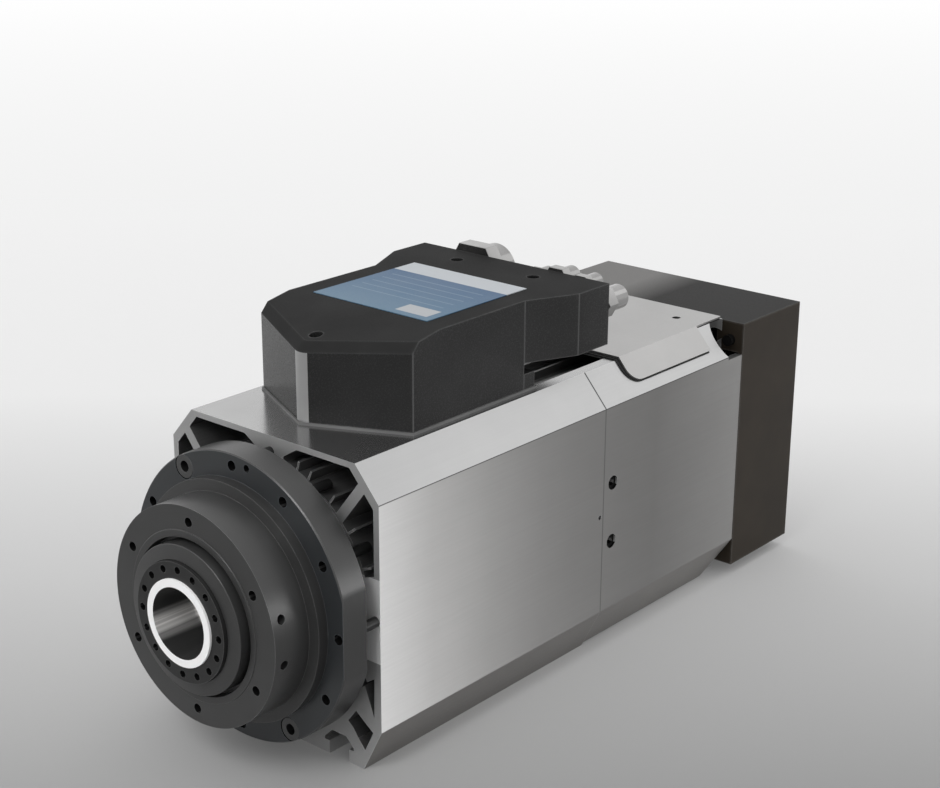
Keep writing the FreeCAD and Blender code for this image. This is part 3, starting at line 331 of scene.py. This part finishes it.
# Painted shade: a dark line on the shoulder where the two housings meet, for the shade in the gap between
# them.
SHOULDER_SEAM_SHADE = (None, (SEAM_Y - 0.45, SEAM_Y + 0.45), None, grey(0.06))
# Painted highlight: the end faces beside the flange are painted near white, as light falls there.
PAINTED_LIGHT_ENDS = [((low, high), (60, 70), (-23, 23), grey(0.95)) for low, high in ((-78, -58), (58, 78))]

SHOULDER_ALUMINIUM = finish_surface(
    "drawn_aluminium", grey(0.49), grey(0.54), 0.36, 0.9, (grey(0.8), 0.4),
    streak=0.5, bump=0.12, patches=[SHOULDER_SEAM_SHADE],
)
TOP_ALUMINIUM = finish_surface(
    "planed_aluminium", grey(0.43), grey(0.48), 0.20, 0.95, (grey(0.9), 0.5),
    streak=0.3, grain=0.01, bump=0.02,
)
# Painted shade: the keel below the housing is the same aluminium, painted darker as it lies in shade.
KEEL_PAINTED_SHADE = finish_surface(
    "keel_aluminium_painted_shade", grey(0.26, 0.03), grey(0.30, 0.03), 0.42, 0.9, (grey(0.7), 0.5), streak=0.5, bump=0.12,
)
END_ALUMINIUM = finish_surface(
    "sawn_aluminium", grey(0.36), grey(0.42), 0.5, 0.5, (grey(0.9), 0.5),
    grain=0.03, bump=0.2, patches=PAINTED_LIGHT_ENDS,
)
# Painted shade: the hollows inside the housing are the same aluminium, painted dark as the shade in them.
HOLLOW_PAINTED_SHADE = finish_surface(
    "hollow_aluminium_painted_shade", grey(0.11), grey(0.20), 0.5, 0.7, (grey(0.5), 0.5), streak=0.5, grain=0.03, bump=0.2,
)
INNER_ALUMINIUM = finish_surface(
    "machined_aluminium", grey(0.55), grey(0.62), 0.35, 0.9, (grey(0.85), 0.4), lathe=0.4,
)
BENT_ALUMINIUM = finish_surface(
    "bent_aluminium", grey(0.43, 0.01), grey(0.47, 0.01), 0.36, 0.85, (grey(0.9), 0.8), streak=0.2, bump=0.12,
)
BLACK_ANODISED = finish_surface(
    "black_anodised", grey(0.028), grey(0.040), 0.34, 0.1, (grey(0.20), 0.7), bump=0.15, lathe=0.6, level=0.7,
)
FLANGE_FINISH = finish_surface(
    "greenish_anodised", grey(0.026, -0.08), grey(0.036, -0.08), 0.32, 0.1, (grey(0.2, -0.1), 0.6),
    lathe=0.6, level=0.6,
)
SHAFT_BLACK = finish_surface(
    "browned_steel", grey(0.018), grey(0.026), 0.30, 0.3, (grey(0.2), 0.6), lathe=0.5,
)
# The ground ring at the nose is a ground steel face; its plain near-white, not metallic, is a painted
# highlight.
GROUND_RING_HIGHLIGHT = finish_surface(
    "ground_ring_painted_highlight", grey(0.95), grey(0.97), 0.45, 0.0, (grey(0.97), 0.3), grain=0.01, bump=0.05, lathe=0.3,
)
DARK_STEEL = finish_surface("blackened_steel", grey(0.02), grey(0.035), 0.38, 0.6, (grey(0.3), 0.5))
CAP_STEEL = finish_surface("cap_steel", grey(0.07), grey(0.10), 0.4, 0.5, (grey(0.4), 0.5))
GROUND_STEEL = finish_surface(
    "ground_steel", grey(0.62, 0.02), grey(0.72, 0.02), 0.20, 1.0, (grey(0.9), 0.3),
    streak=0.6, grain=0.01, bump=0.08,
)
NICKEL = finish_surface(
    "nickel", grey(0.26, 0.01), grey(0.40, 0.01), 0.12, 1.0, (grey(0.95), 0.3), grain=0.01, bump=0.05,
)
COPPER = finish_surface(
    "copper_winding", (0.50, 0.20, 0.09, 1), (0.62, 0.27, 0.13, 1), 0.35, 0.9, (grey(0.8), 0.2),
    streak=0.3, grain=0.05, bump=0.3,
)
LAMINATED = finish_surface(
    "laminated_steel", grey(0.25), grey(0.32), 0.5, 0.8, (grey(0.5), 0.3), grain=0.04, bump=0.3,
)

# Finishes of plastic, rubber and paint; the box's upright edges get painted highlights as pale lines

BOX_EDGE_HIGHLIGHTS = [(None, (edge - 0.4, edge + 0.4), None, grey(0.10)) for edge in (113.4, 202.0, 232.0)]

BOX_PLASTIC = finish_surface(
    "box_plastic", grey(0.020), grey(0.027), 0.26, 0.0, (grey(0.20), 0.6),
    grain=0.03, bump=0.15, level=0.2, reach=1.2, patches=BOX_EDGE_HIGHLIGHTS,
)
LID_PLASTIC = finish_surface(
    "lid_plastic", grey(0.024), grey(0.031), 0.5, 0.0, (grey(0.14), 0.5),
    grain=0.03, bump=0.25, level=0.02, reach=2.0,
)
# Painted highlight: the box's rounded tip is painted light grey.
TIP_HIGHLIGHT_PLASTIC = finish_surface(
    "tip_plastic_painted_highlight", grey(0.27), grey(0.30), 0.30, 0.0, (grey(0.24), 0.6), grain=0.03, bump=0.2, level=0.8,
)
COVER_COAT = finish_surface(
    "cover_coat", grey(0.025, 0.22), grey(0.032, 0.24), 0.30, 0.0, (grey(0.14, 0.05), 0.6),
    grain=0.03, bump=0.15, level=0.08, reach=2.4,
)
FAN_PLASTIC = finish_surface(
    "fan_plastic", grey(0.022), grey(0.03), 0.45, 0.0, (grey(0.1), 0.3), grain=0.03, bump=0.2,
)
# Near black: painted shade on the walls of holes and on the strips behind the rear housing, and the colour of
# the small screws.
BLACK_AND_PAINTED_SHADE = finish_surface("black_and_painted_shade", grey(0.004), grey(0.006), 0.6, 0.0, (grey(0.01), 0.1), level=0.1)
RUBBER = finish_surface(
    "black_rubber", grey(0.012), grey(0.018), 0.6, 0.0, (grey(0.03), 0.2), grain=0.03, bump=0.3, level=0.3,
)
GASKET = finish_surface(
    "light_gasket", grey(0.13), grey(0.17), 0.6, 0.0, (grey(0.2), 0.3), grain=0.03, bump=0.3,
)

# Side panel: brushed along the spindle, with a painted sheen that is brightest at the nose end; Y in mm and
# the painted tone there

PANEL_PAINTED_SHEEN = [
    (65.6, 0.80), (105.0, 0.58), (150.0, 0.45), (193.0, 0.37), (225.0, 0.34), (300.0, 0.30), (389.0, 0.44),
]
# Painted shade: a dark line on the panel where the two housings meet.
PANEL_SEAM_SHADE = (SEAM_Y - 0.4, SEAM_Y + 0.4)
CHAMFER_LINE = (None, None, (62.2, 62.9), grey(0.16))


def make_panel():
    """Brushed aluminium with a painted sheen that changes along Y, brightest at the nose end."""
    material, tree, shader = new_material("brushed_panel")
    fine = placed(tree, GRAIN, {"Grain size": 1600.0})
    along = axes(tree)[1]
    # Painted sheen: a tone for each place along Y, standing in for the reflection on the panel.
    stops = [(place * MM, grey(tone, 0.02 * (1 - tone))) for place, tone in PANEL_PAINTED_SHEEN]
    tones = ramped(tree, along, stops)
    hint = wandering(tree, fine["Streaks"], 0.94, 1.0)
    cloud = wandering(tree, fine["Clouds"], 0.96, 1.0)
    shade = math_node(tree, "MULTIPLY", hint, cloud)
    colour = node(tree, "VectorMath", {0: tones, "Scale": shade}, operation="SCALE").outputs[0]
    # Painted shade along the seam between the housings.
    seam_shade = within(tree, along, *PANEL_SEAM_SHADE)
    beside_seam = math_node(tree, "SUBTRACT", 1.0, seam_shade)
    colour = edged(tree, colour, grey(0.7), math_node(tree, "MULTIPLY", beside_seam, 0.4), 0.6)
    colour = blended(tree, seam_shade, colour, grey(0.18))
    raised = node(tree, "Bump", {"Height": fine["Streaks"], "Strength": 0.1, "Distance": 0.02 * MM})
    set_inputs(tree, shader, {
        "Base Color": patched(tree, colour, [CHAMFER_LINE]),
        "Roughness": wandering(tree, fine["Streaks"], 0.56, 0.64),
        "Metallic": 1.0,
        "Anisotropic": 1.0,
        "Anisotropic Rotation": 0.25,
        "Tangent": node(tree, "CombineXYZ", {1: 1.0}).outputs[0],
        "Normal": raised.outputs[0],
    })
    return material


# Top of the rear cover, with a painted reflection: X in mm where it is still dark, and where it is light

COVER_PAINTED_REFLECTION = (2.0, -30.0)


def make_cover_top():
    """The coated top of the rear cover, with a painted reflection that makes it lighter towards the left."""
    material, tree, shader = new_material("cover_top_painted_reflection")
    fine = placed(tree, GRAIN, {"Grain size": 1400.0})
    painted_sheen = spread(tree, axes(tree)[0], *(place * MM for place in COVER_PAINTED_REFLECTION))
    colour = blended(tree, painted_sheen, grey(0.011, 0.05), grey(0.19, 0.02))
    set_inputs(tree, shader, {
        "Base Color": edged(tree, colour, grey(0.14), 0.6, 2.4),
        "Roughness": wandering(tree, fine["Grain"], 0.36, 0.44),
        "Specular IOR Level": 0.05,
    })
    return material


# Taper: height of the painted bright reflection streak, and the distances from it where it fades

BORE_PAINTED_STREAK_Z = -6.5
BORE_PAINTED_STREAK_FADE = (1.5, 7.5)


def make_bore():
    """The polished taper, with a painted reflection: bright streaks along its generators around one height.
    """
    material, tree, shader = new_material("polished_bore")
    across, _, up = axes(tree)
    angle = math_node(tree, "ARCTAN2", up, across)
    noise = {"W": angle, "Scale": 9.0, "Detail": 4.0}
    streaks = node(tree, "TexNoise", noise, noise_dimensions="1D").outputs[0]
    offset = math_node(tree, "ABSOLUTE", math_node(tree, "SUBTRACT", up, BORE_PAINTED_STREAK_Z * MM))
    middle = spread(tree, offset, BORE_PAINTED_STREAK_FADE[0] * MM, BORE_PAINTED_STREAK_FADE[1] * MM, 1.0, 0.0)
    painted_sheen = math_node(tree, "MULTIPLY", middle, wandering(tree, streaks, 0.45, 1.0))
    set_inputs(tree, shader, {
        "Base Color": blended(tree, painted_sheen, grey(0.04), grey(0.95, 0.02)),
        "Roughness": wandering(tree, streaks, 0.32, 0.42),
        "Metallic": 0.3,
    })
    return material


# Label: a white band at the rear end of a blue field, with thin rules and a pale box

LABEL_START = 139.0
LABEL_END = 220.0
BAND_START = LABEL_END - 17.0
BAND_INK = (0.50, 0.53, 0.56, 1)
FIELD_FRONT = (0.09, 0.18, 0.27, 1)
FIELD_REAR = (0.02, 0.085, 0.20, 1)
RULES = 5
RULE_PITCH = 8.0
RULE_HALF = 0.35
RULE_SPAN = (-34, 32)
RULE_INK = (0.40, 0.50, 0.58, 1)
PALE_BOX = ((14, 36), (144, 156))
PALE_BOX_INK = (0.42, 0.44, 0.46, 1)


def make_label():
    """A printed film with a white band, a blue field that fades, rules and a pale box."""
    material, tree, shader = new_material("label_print")
    across, along, _ = axes(tree)
    fade = spread(tree, along, LABEL_START * MM, LABEL_END * MM)
    field = blended(tree, fade, FIELD_FRONT, FIELD_REAR)
    colour = blended(tree, within(tree, along, BAND_START, LABEL_END + 1), field, BAND_INK)
    rules = 0.0
    for row in range(RULES):
        middle = BAND_START - 9 - RULE_PITCH * row
        rule = within(tree, along, middle - RULE_HALF, middle + RULE_HALF, 0.1)
        rules = math_node(tree, "ADD", rules, rule)
    ruled = math_node(tree, "MULTIPLY", rules, within(tree, across, *RULE_SPAN))
    colour = blended(tree, math_node(tree, "MULTIPLY", ruled, 0.35), colour, RULE_INK)
    box_across, box_along = within(tree, across, *PALE_BOX[0]), within(tree, along, *PALE_BOX[1])
    colour = blended(tree, math_node(tree, "MULTIPLY", box_across, box_along), colour, PALE_BOX_INK)
    fine = placed(tree, GRAIN, {"Grain size": 900.0})
    dust = wandering(tree, fine["Clouds"], 0.0, 0.06)
    set_inputs(tree, shader, {
        "Base Color": blended(tree, dust, colour, grey(0.5)),
        "Roughness": wandering(tree, fine["Grain"], 0.28, 0.36),
        "Specular IOR Level": 0.1,
    })
    return material


PANEL = make_panel()
BORE_STEEL = make_bore()
COVER_TOP = make_cover_top()
LABEL = make_label()

FINISHES = {
    "extruded_aluminium": SHOULDER_ALUMINIUM,
    "machined_aluminium": INNER_ALUMINIUM,
    "bent_aluminium": BENT_ALUMINIUM,
    "black_anodised": BLACK_ANODISED,
    "dark_steel": DARK_STEEL,
    "ground_steel": GROUND_STEEL,
    "laminated_steel": LAMINATED,
    "copper_winding": COPPER,
    "nickel_plated": NICKEL,
    "black_plastic": BOX_PLASTIC,
    "black_coated_steel": COVER_COAT,
    "black_rubber": RUBBER,
    "light_gasket": GASKET,
    "label_film": LABEL,
}
NODE_FINISHES = {
    "fan": FAN_PLASTIC,
    "fan_motor": FAN_PLASTIC,
    "fan_guard": FAN_PLASTIC,
    "box_screws": BLACK_AND_PAINTED_SHADE,
    "plate_screws": BLACK_AND_PAINTED_SHADE,
    "cover_screws": BLACK_AND_PAINTED_SHADE,
}


def dress_nodes():
    """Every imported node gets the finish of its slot, or one of its own."""
    for entry in frame["record"]["subparts"]:
        part = frame["nodes"][entry["node"]]
        part.data.materials.clear()
        part.data.materials.append(NODE_FINISHES.get(entry["node"], FINISHES[entry["material_slot"]]))


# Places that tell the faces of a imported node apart, in mm

SIDE_HALF = 75.0
TOP_HALF = 59.3
TOP_Z = 80.7
SHOULDER_Z = 62.8
LOW_HALF = 62.2
LOW_Z = -61.5
SLOT_ZONE = -68.0
SIDE_HOLE = (250.5, 266.5)
SIDE_HOLE_DEPTH = 12.0
TIP_HALF = 4.5
TIP_REAR = 93.0
FLANGE_FRONT = (36.0, 42.0)
CAP_FACE_Y = 40.5
RING_RADIUS = 23.2
RING_REAR_Y = 1.5
SHAFT_HEAD_Y = 24.0
BORE_END_Y = 60.0
SLACK = 0.2

# A face looks along an axis when that part of its normal is over FACING, and upwards when over UPWARD.
# The wall of a hole along the spindle has less than WALL_LEAN of its normal along Y.

FACING = 0.9
UPWARD = 0.5
WALL_LEAN = 0.1


def extent(face, axis):
    """A face's lowest and highest coordinate on an axis (0, 1 or 2)."""
    places = [vert.co[axis] / MM for vert in face.verts]
    return min(places), max(places)


def radii(face):
    """The distances of a face's corners from the spindle's axis."""
    return [math.hypot(vert.co.x, vert.co.z) / MM for vert in face.verts]


def drilled(face):
    """Whether a face is the wall of a hole that runs along the spindle beside its axis."""
    if abs(face.normal.y) > WALL_LEAN:
        return False
    places = radii(face)
    turned = max(places) - min(places) < 0.1
    return not turned and min(abs(vert.co.x) for vert in face.verts) < SIDE_HALF * MM


def housing_skin(face):
    """Sawn end, panel, top, side hole, shoulder, keel, T slot or hollow of the extruded housing."""
    normal = face.normal
    if abs(normal.y) > FACING:
        return END_ALUMINIUM
    inner = min(abs(vert.co.x) for vert in face.verts) / MM
    low, high = extent(face, 2)
    if inner > SIDE_HALF - SLACK:
        return PANEL
    if low > TOP_Z - SLACK:
        return TOP_ALUMINIUM
    start, end = extent(face, 1)
    if inner > SIDE_HALF - SIDE_HOLE_DEPTH and SIDE_HOLE[0] < start and end < SIDE_HOLE[1]:
        return BLACK_AND_PAINTED_SHADE
    outward = normal.x * face.verts[0].co.x > 0
    if outward and 0.5 < normal.z < 0.8 and inner > TOP_HALF - 1 and low > SHOULDER_Z - 1:
        return SHOULDER_ALUMINIUM
    if outward and -0.6 < normal.z < -0.3 and inner > LOW_HALF - 1 and high < LOW_Z + 1:
        return KEEL_PAINTED_SHADE
    return SHOULDER_ALUMINIUM if high < SLOT_ZONE else HOLLOW_PAINTED_SHADE


def flange_skin(face):
    """Drilled hole, front of the flange, or the rest of the flange and the nose."""
    if drilled(face):
        return BLACK_AND_PAINTED_SHADE
    at_front = FLANGE_FRONT[0] < face.verts[0].co.y / MM < FLANGE_FRONT[1]
    return FLANGE_FINISH if at_front and face.normal.y < -FACING else BLACK_ANODISED


def shaft_skin(face):
    """Ground ring, balancing hole, blackened head, polished taper or plain ground shaft."""
    widest = max(radii(face))
    rear = extent(face, 1)[1]
    if rear < RING_REAR_Y and widest < RING_RADIUS + 0.1:
        return GROUND_RING_HIGHLIGHT
    if widest > RING_RADIUS and rear < SHAFT_HEAD_Y:
        return BLACK_AND_PAINTED_SHADE if drilled(face) else SHAFT_BLACK
    return BORE_STEEL if widest <= RING_RADIUS and rear < BORE_END_Y else GROUND_STEEL


def box_skin(face):
    """Rounded tip with a painted highlight, lid with its ramp, or walls."""
    widest = max(abs(vert.co.x) for vert in face.verts) / MM
    if widest < TIP_HALF and extent(face, 1)[1] < TIP_REAR and face.normal.y < -FACING:
        return TIP_HIGHLIGHT_PLASTIC
    return LID_PLASTIC if face.normal.z > UPWARD else BOX_PLASTIC


def cover_skin(face):
    """Top, or the rest of the rear cover."""
    return COVER_TOP if face.normal.z > UPWARD else COVER_COAT


def cap_skin(face):
    """Steel face of the cap, or its black socket and shank."""
    return CAP_STEEL if face.normal.y < -FACING and face.verts[0].co.y / MM < CAP_FACE_Y else DARK_STEEL


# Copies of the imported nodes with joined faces, rounded edges and a finish for each kind of face

JOINED = 0.004
FLAT_ANGLE = math.radians(0.4)
SHARP_ANGLE = math.radians(28)


def softened(name, width, segments=2, skins=(), choose=None, split=False):
    """A copy of a node with joined faces, rounded edges and smooth rounds, shown in its place.

    width is the rounding in mm. choose picks one of the skins for a face. split cuts faces of many
    corners into triangles, which the rounding leaves flat.
    """
    source = frame["nodes"][name]
    mesh = source.data.copy()
    form = bmesh.new()
    form.from_mesh(mesh)
    bmesh.ops.remove_doubles(form, verts=form.verts, dist=JOINED * MM)
    bmesh.ops.dissolve_limit(
        form, angle_limit=FLAT_ANGLE, verts=form.verts, edges=form.edges, use_dissolve_boundaries=False
    )
    if split:
        large = [face for face in form.faces if len(face.verts) > 4]
        bmesh.ops.triangulate(form, faces=large, quad_method="BEAUTY", ngon_method="BEAUTY")
    for face in form.faces:
        face.smooth = True
        face.material_index = skins.index(choose(face)) if skins else 0
    for edge in form.edges:
        edge.smooth = edge.is_manifold and edge.calc_face_angle(0) < SHARP_ANGLE
    if skins:
        mesh.materials.clear()
        for skin in skins:
            mesh.materials.append(skin)
    form.to_mesh(mesh)
    form.free()
    piece = put(name + "_shell", mesh)
    if width:
        bevel = piece.modifiers.new("edges", "BEVEL")
        bevel.width = width * MM
        bevel.segments = segments
        bevel.limit_method = "ANGLE"
        bevel.angle_limit = SHARP_ANGLE
        bevel.harden_normals = True
    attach(piece, source["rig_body"])
    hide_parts(name)


# Disc springs: pairs of coned rings around the drawbar, pressed together when it releases the tool

SPRING_INNER = 8.6
SPRING_OUTER = 14.1
SPRING_FRONT = 112.0
SPRING_REAR = 284.0
SPRING_PAIRS = 43
SPRING_CONE = 0.7
SPRING_GAP = 0.02
SPRING_SIDES = 40


def make_springs():
    """The stack of disc springs between the shaft's step and the drawbar's nut."""
    form = bmesh.new()
    length = SPRING_REAR - SPRING_FRONT
    pitch = length / SPRING_PAIRS
    middle = SPRING_FRONT + pitch / 2
    thick = pitch / 2 - SPRING_CONE - SPRING_GAP
    for inner, outer in ((SPRING_FRONT, SPRING_FRONT + SPRING_CONE), (middle + SPRING_CONE, middle)):
        section = [
            (SPRING_INNER, inner), (SPRING_OUTER, outer),
            (SPRING_OUTER, outer + thick), (SPRING_INNER, inner + thick),
        ]
        verts = [form.verts.new((radius * MM, along * MM, 0)) for radius, along in section]
        edges = [form.edges.new((verts[i], verts[(i + 1) % 4])) for i in range(4)]
        bmesh.ops.spin(
            form, geom=verts + edges, cent=(0, 0, 0), axis=(0, 1, 0),
            angle=math.tau, steps=SPRING_SIDES, use_merge=True,
        )
    first_pair = form.verts[:] + form.edges[:] + form.faces[:]
    for pair in range(1, SPRING_PAIRS):
        made = bmesh.ops.duplicate(form, geom=first_pair)
        moved = [item for item in made["geom"] if isinstance(item, bmesh.types.BMVert)]
        bmesh.ops.translate(form, verts=moved, vec=(0, pair * pitch * MM, 0))
    bmesh.ops.recalc_face_normals(form, faces=form.faces)
    stack = put_form("disc_spring_stack", form, DARK_STEEL)
    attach(stack, frame["nodes"]["disc_springs"]["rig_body"])
    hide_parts("disc_springs")
    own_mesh(stack)


# Black strips put as painted shade in the gap between the rear housing and the cover's room, so no light
# shows through;
# each has its lowest and its highest X and Z

BAFFLE_Y = (393.6, 395.0)
BAFFLE_STRIPS = [
    ((-55.5, 60.0), (55.5, 76.5)),
    ((57.5, -58.0), (71.5, 60.4)),
    ((-71.5, -58.0), (-57.5, 60.4)),
]


def make_baffle():
    """Black strips behind the rear housing, put there as painted shade."""
    form = bmesh.new()
    for low, high in BAFFLE_STRIPS:
        limits = ((low[0], high[0]), BAFFLE_Y, (low[1], high[1]))
        verts = bmesh.ops.create_cube(form, size=1)["verts"]
        bmesh.ops.scale(form, verts=verts, vec=[(end - start) * MM for start, end in limits])
        bmesh.ops.translate(form, verts=verts, vec=[(start + end) / 2 * MM for start, end in limits])
    baffle = put_form("shade_baffle", form, BLACK_AND_PAINTED_SHADE)
    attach(baffle, frame["nodes"]["rear_cover"]["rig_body"])


# Room: a pale floor that brightens away from the camera, and soft lights. From here on in metres.

FLOOR_Z = -0.0871
FLOOR_BEHIND = 1.5
FLOOR_HALF = 8.0
FLOOR_REACH = 5.5
BACKDROP_BEND = 2.0
BACKDROP_STEPS = 16
BACKDROP_HEIGHT = 6.0
AWAY = Vector((-0.61243, 0.71907, 0)).normalized()

# Distance from the camera along the floor, and the floor's tone there

FLOOR_TONES = [(0.8, 0.33), (1.05, 0.55), (1.4, 0.8), (2.0, 0.88), (4.0, 1.0)]

# The floor glows where the camera sees it: a little throughout, and fully from GLOW_END on

GLOW_START = 1.25
GLOW_END = 2.1
FLOOR_LIFT = 0.15


def make_room():
    """The floor and the backdrop behind it, one curved sheet."""
    form = bmesh.new()
    side = Vector((AWAY.y, -AWAY.x, 0))
    below = Vector((CAMERA_PLACE.x, CAMERA_PLACE.y, FLOOR_Z))
    start = below - AWAY * FLOOR_BEHIND - side * FLOOR_HALF
    profile = [start, start + AWAY * FLOOR_REACH]
    for step in range(1, BACKDROP_STEPS + 1):
        turn = math.pi / 2 * step / BACKDROP_STEPS
        along = FLOOR_REACH + BACKDROP_BEND * math.sin(turn)
        rise = BACKDROP_BEND * (1 - math.cos(turn))
        profile.append(start + AWAY * along + Vector((0, 0, rise)))
    profile.append(profile[-1] + Vector((0, 0, BACKDROP_HEIGHT)))
    verts = [form.verts.new(point) for point in profile]
    edges = [form.edges.new(pair) for pair in zip(verts, verts[1:])]
    made = bmesh.ops.extrude_edge_only(form, edges=edges)
    moved = [item for item in made["geom"] if isinstance(item, bmesh.types.BMVert)]
    bmesh.ops.translate(form, verts=moved, vec=side * 2 * FLOOR_HALF)
    for face in form.faces:
        face.smooth = True
    put_form("floor", form, make_floor_finish())


def seen_directly(tree):
    """A mask for rays from the camera, also through glass or off metal."""
    path = node(tree, "LightPath").outputs
    mirrored = math_node(tree, "MAXIMUM", path["Is Glossy Ray"], path["Is Transmission Ray"])
    return math_node(tree, "MAXIMUM", path["Is Camera Ray"], mirrored)


def make_floor_finish():
    """Pale grey near the camera, turning white far behind the spindle."""
    material, tree, shader = new_material("pale_floor")
    along = node(tree, "VectorMath", {0: object_place(tree), 1: AWAY}, operation="DOT_PRODUCT")
    depth = math_node(tree, "SUBTRACT", along.outputs["Value"], CAMERA_PLACE.dot(AWAY))
    tones = ramped(tree, depth, [(distance, grey(tone)) for distance, tone in FLOOR_TONES])
    glow = math_node(tree, "MULTIPLY", spread(tree, depth, GLOW_START, GLOW_END), seen_directly(tree))
    lift = spread(tree, glow, 0.0, 1.0, FLOOR_LIFT, 1.0)
    hidden = math_node(tree, "SUBTRACT", 1.0, glow)
    black = grey(0.0)
    set_inputs(tree, shader, {
        "Base Color": blended(tree, hidden, black, tones),
        "Roughness": 0.9,
        "Specular IOR Level": 0.0,
        "Emission Color": blended(tree, lift, black, tones),
        "Emission Strength": 1.0,
    })
    return material


LAMPS = [
    # name, azimuth and elevation from the target, distance, target, size, power, beam angle
    ("overhead", 100, 80, 1.5, (0, 0.2, 0), (1.4, 1.4), 1.5, 180),
    ("left_front", 230, 30, 1.4, (0, 0.1, 0), (0.8, 0.8), 0.9, 180),
    ("shoulder", 61, 32, 1.3, (0.07, 0.23, 0.07), (0.6, 0.45), 0.3, 150),
    ("panel_strip", 40, 4, 1.0, (0.075, 0.08, 0.0), (0.22, 0.26), 0.24, 90),
    ("nose_front", 285, 50, 0.7, (0, 0, 0), (0.3, 0.3), 0.14, 40),
]

# The world's strength as a light, and as it is seen

WORLD_LEVEL = 0.8
WORLD_GLOW = 0.85


def make_lights():
    """A white world and soft lamps."""
    world = bpy.data.worlds.new("studio")
    bpy.context.scene.world = world
    world.use_nodes = True
    tree = world.node_tree
    strength = spread(tree, seen_directly(tree), 0.0, 1.0, WORLD_LEVEL, WORLD_GLOW)
    set_inputs(tree, tree.nodes["Background"], {"Color": (1, 1, 1, 1), "Strength": strength})
    for name, azimuth, elevation, distance, target, size, power, beam in LAMPS:
        turn, lift = math.radians(azimuth), math.radians(elevation)
        toward = Vector((math.cos(turn) * math.cos(lift), math.sin(turn) * math.cos(lift), math.sin(lift)))
        data = bpy.data.lights.new(name, "AREA")
        data.shape = "RECTANGLE"
        data.size, data.size_y = size
        data.energy = power
        data.spread = math.radians(beam)
        lamp = put(name, data)
        lamp.location = Vector(target) + toward * distance
        lamp.rotation_mode = "QUATERNION"
        lamp.rotation_quaternion = toward.to_track_quat("Z", "Y")
        lamp.visible_camera = False


bpy.context.scene.view_settings.view_transform = "Standard"
place_camera()
dress_nodes()
make_room()
make_lights()

HOUSING_SKINS = (
    PANEL, SHOULDER_ALUMINIUM, END_ALUMINIUM, HOLLOW_PAINTED_SHADE, TOP_ALUMINIUM, KEEL_PAINTED_SHADE, BLACK_AND_PAINTED_SHADE,
)
SHAFT_SKINS = (GROUND_STEEL, GROUND_RING_HIGHLIGHT, SHAFT_BLACK, BORE_STEEL, BLACK_AND_PAINTED_SHADE)
softened("front_housing", 0.4, skins=HOUSING_SKINS, choose=housing_skin)
softened("rear_housing", 0.4, skins=HOUSING_SKINS, choose=housing_skin)
softened("bearing_flange", 0.5, skins=(BLACK_ANODISED, FLANGE_FINISH, BLACK_AND_PAINTED_SHADE), choose=flange_skin)
softened("spindle_shaft", 0, skins=SHAFT_SKINS, choose=shaft_skin)
softened("terminal_box", 1.0, 3, skins=(BOX_PLASTIC, LID_PLASTIC, TIP_HIGHLIGHT_PLASTIC), choose=box_skin, split=True)
softened("rear_cover", 1.8, 3, skins=(COVER_COAT, COVER_TOP), choose=cover_skin)
softened("flange_screws", 0.2, skins=(DARK_STEEL, CAP_STEEL), choose=cap_skin)
SOFTENED = {
    "labyrinth_ring": 0.4,
    "nose_lock_ring": 0.4,
    "access_plate": 0.4,
    "power_gland": 0.5,
    "signal_connector": 0.4,
    "air_fitting_small": 0.4,
    "air_fitting_large": 0.4,
    "coolant_fitting": 0.4,
}
for name, width in SOFTENED.items():
    softened(name, width, segments=3)
make_baffle()
make_springs()
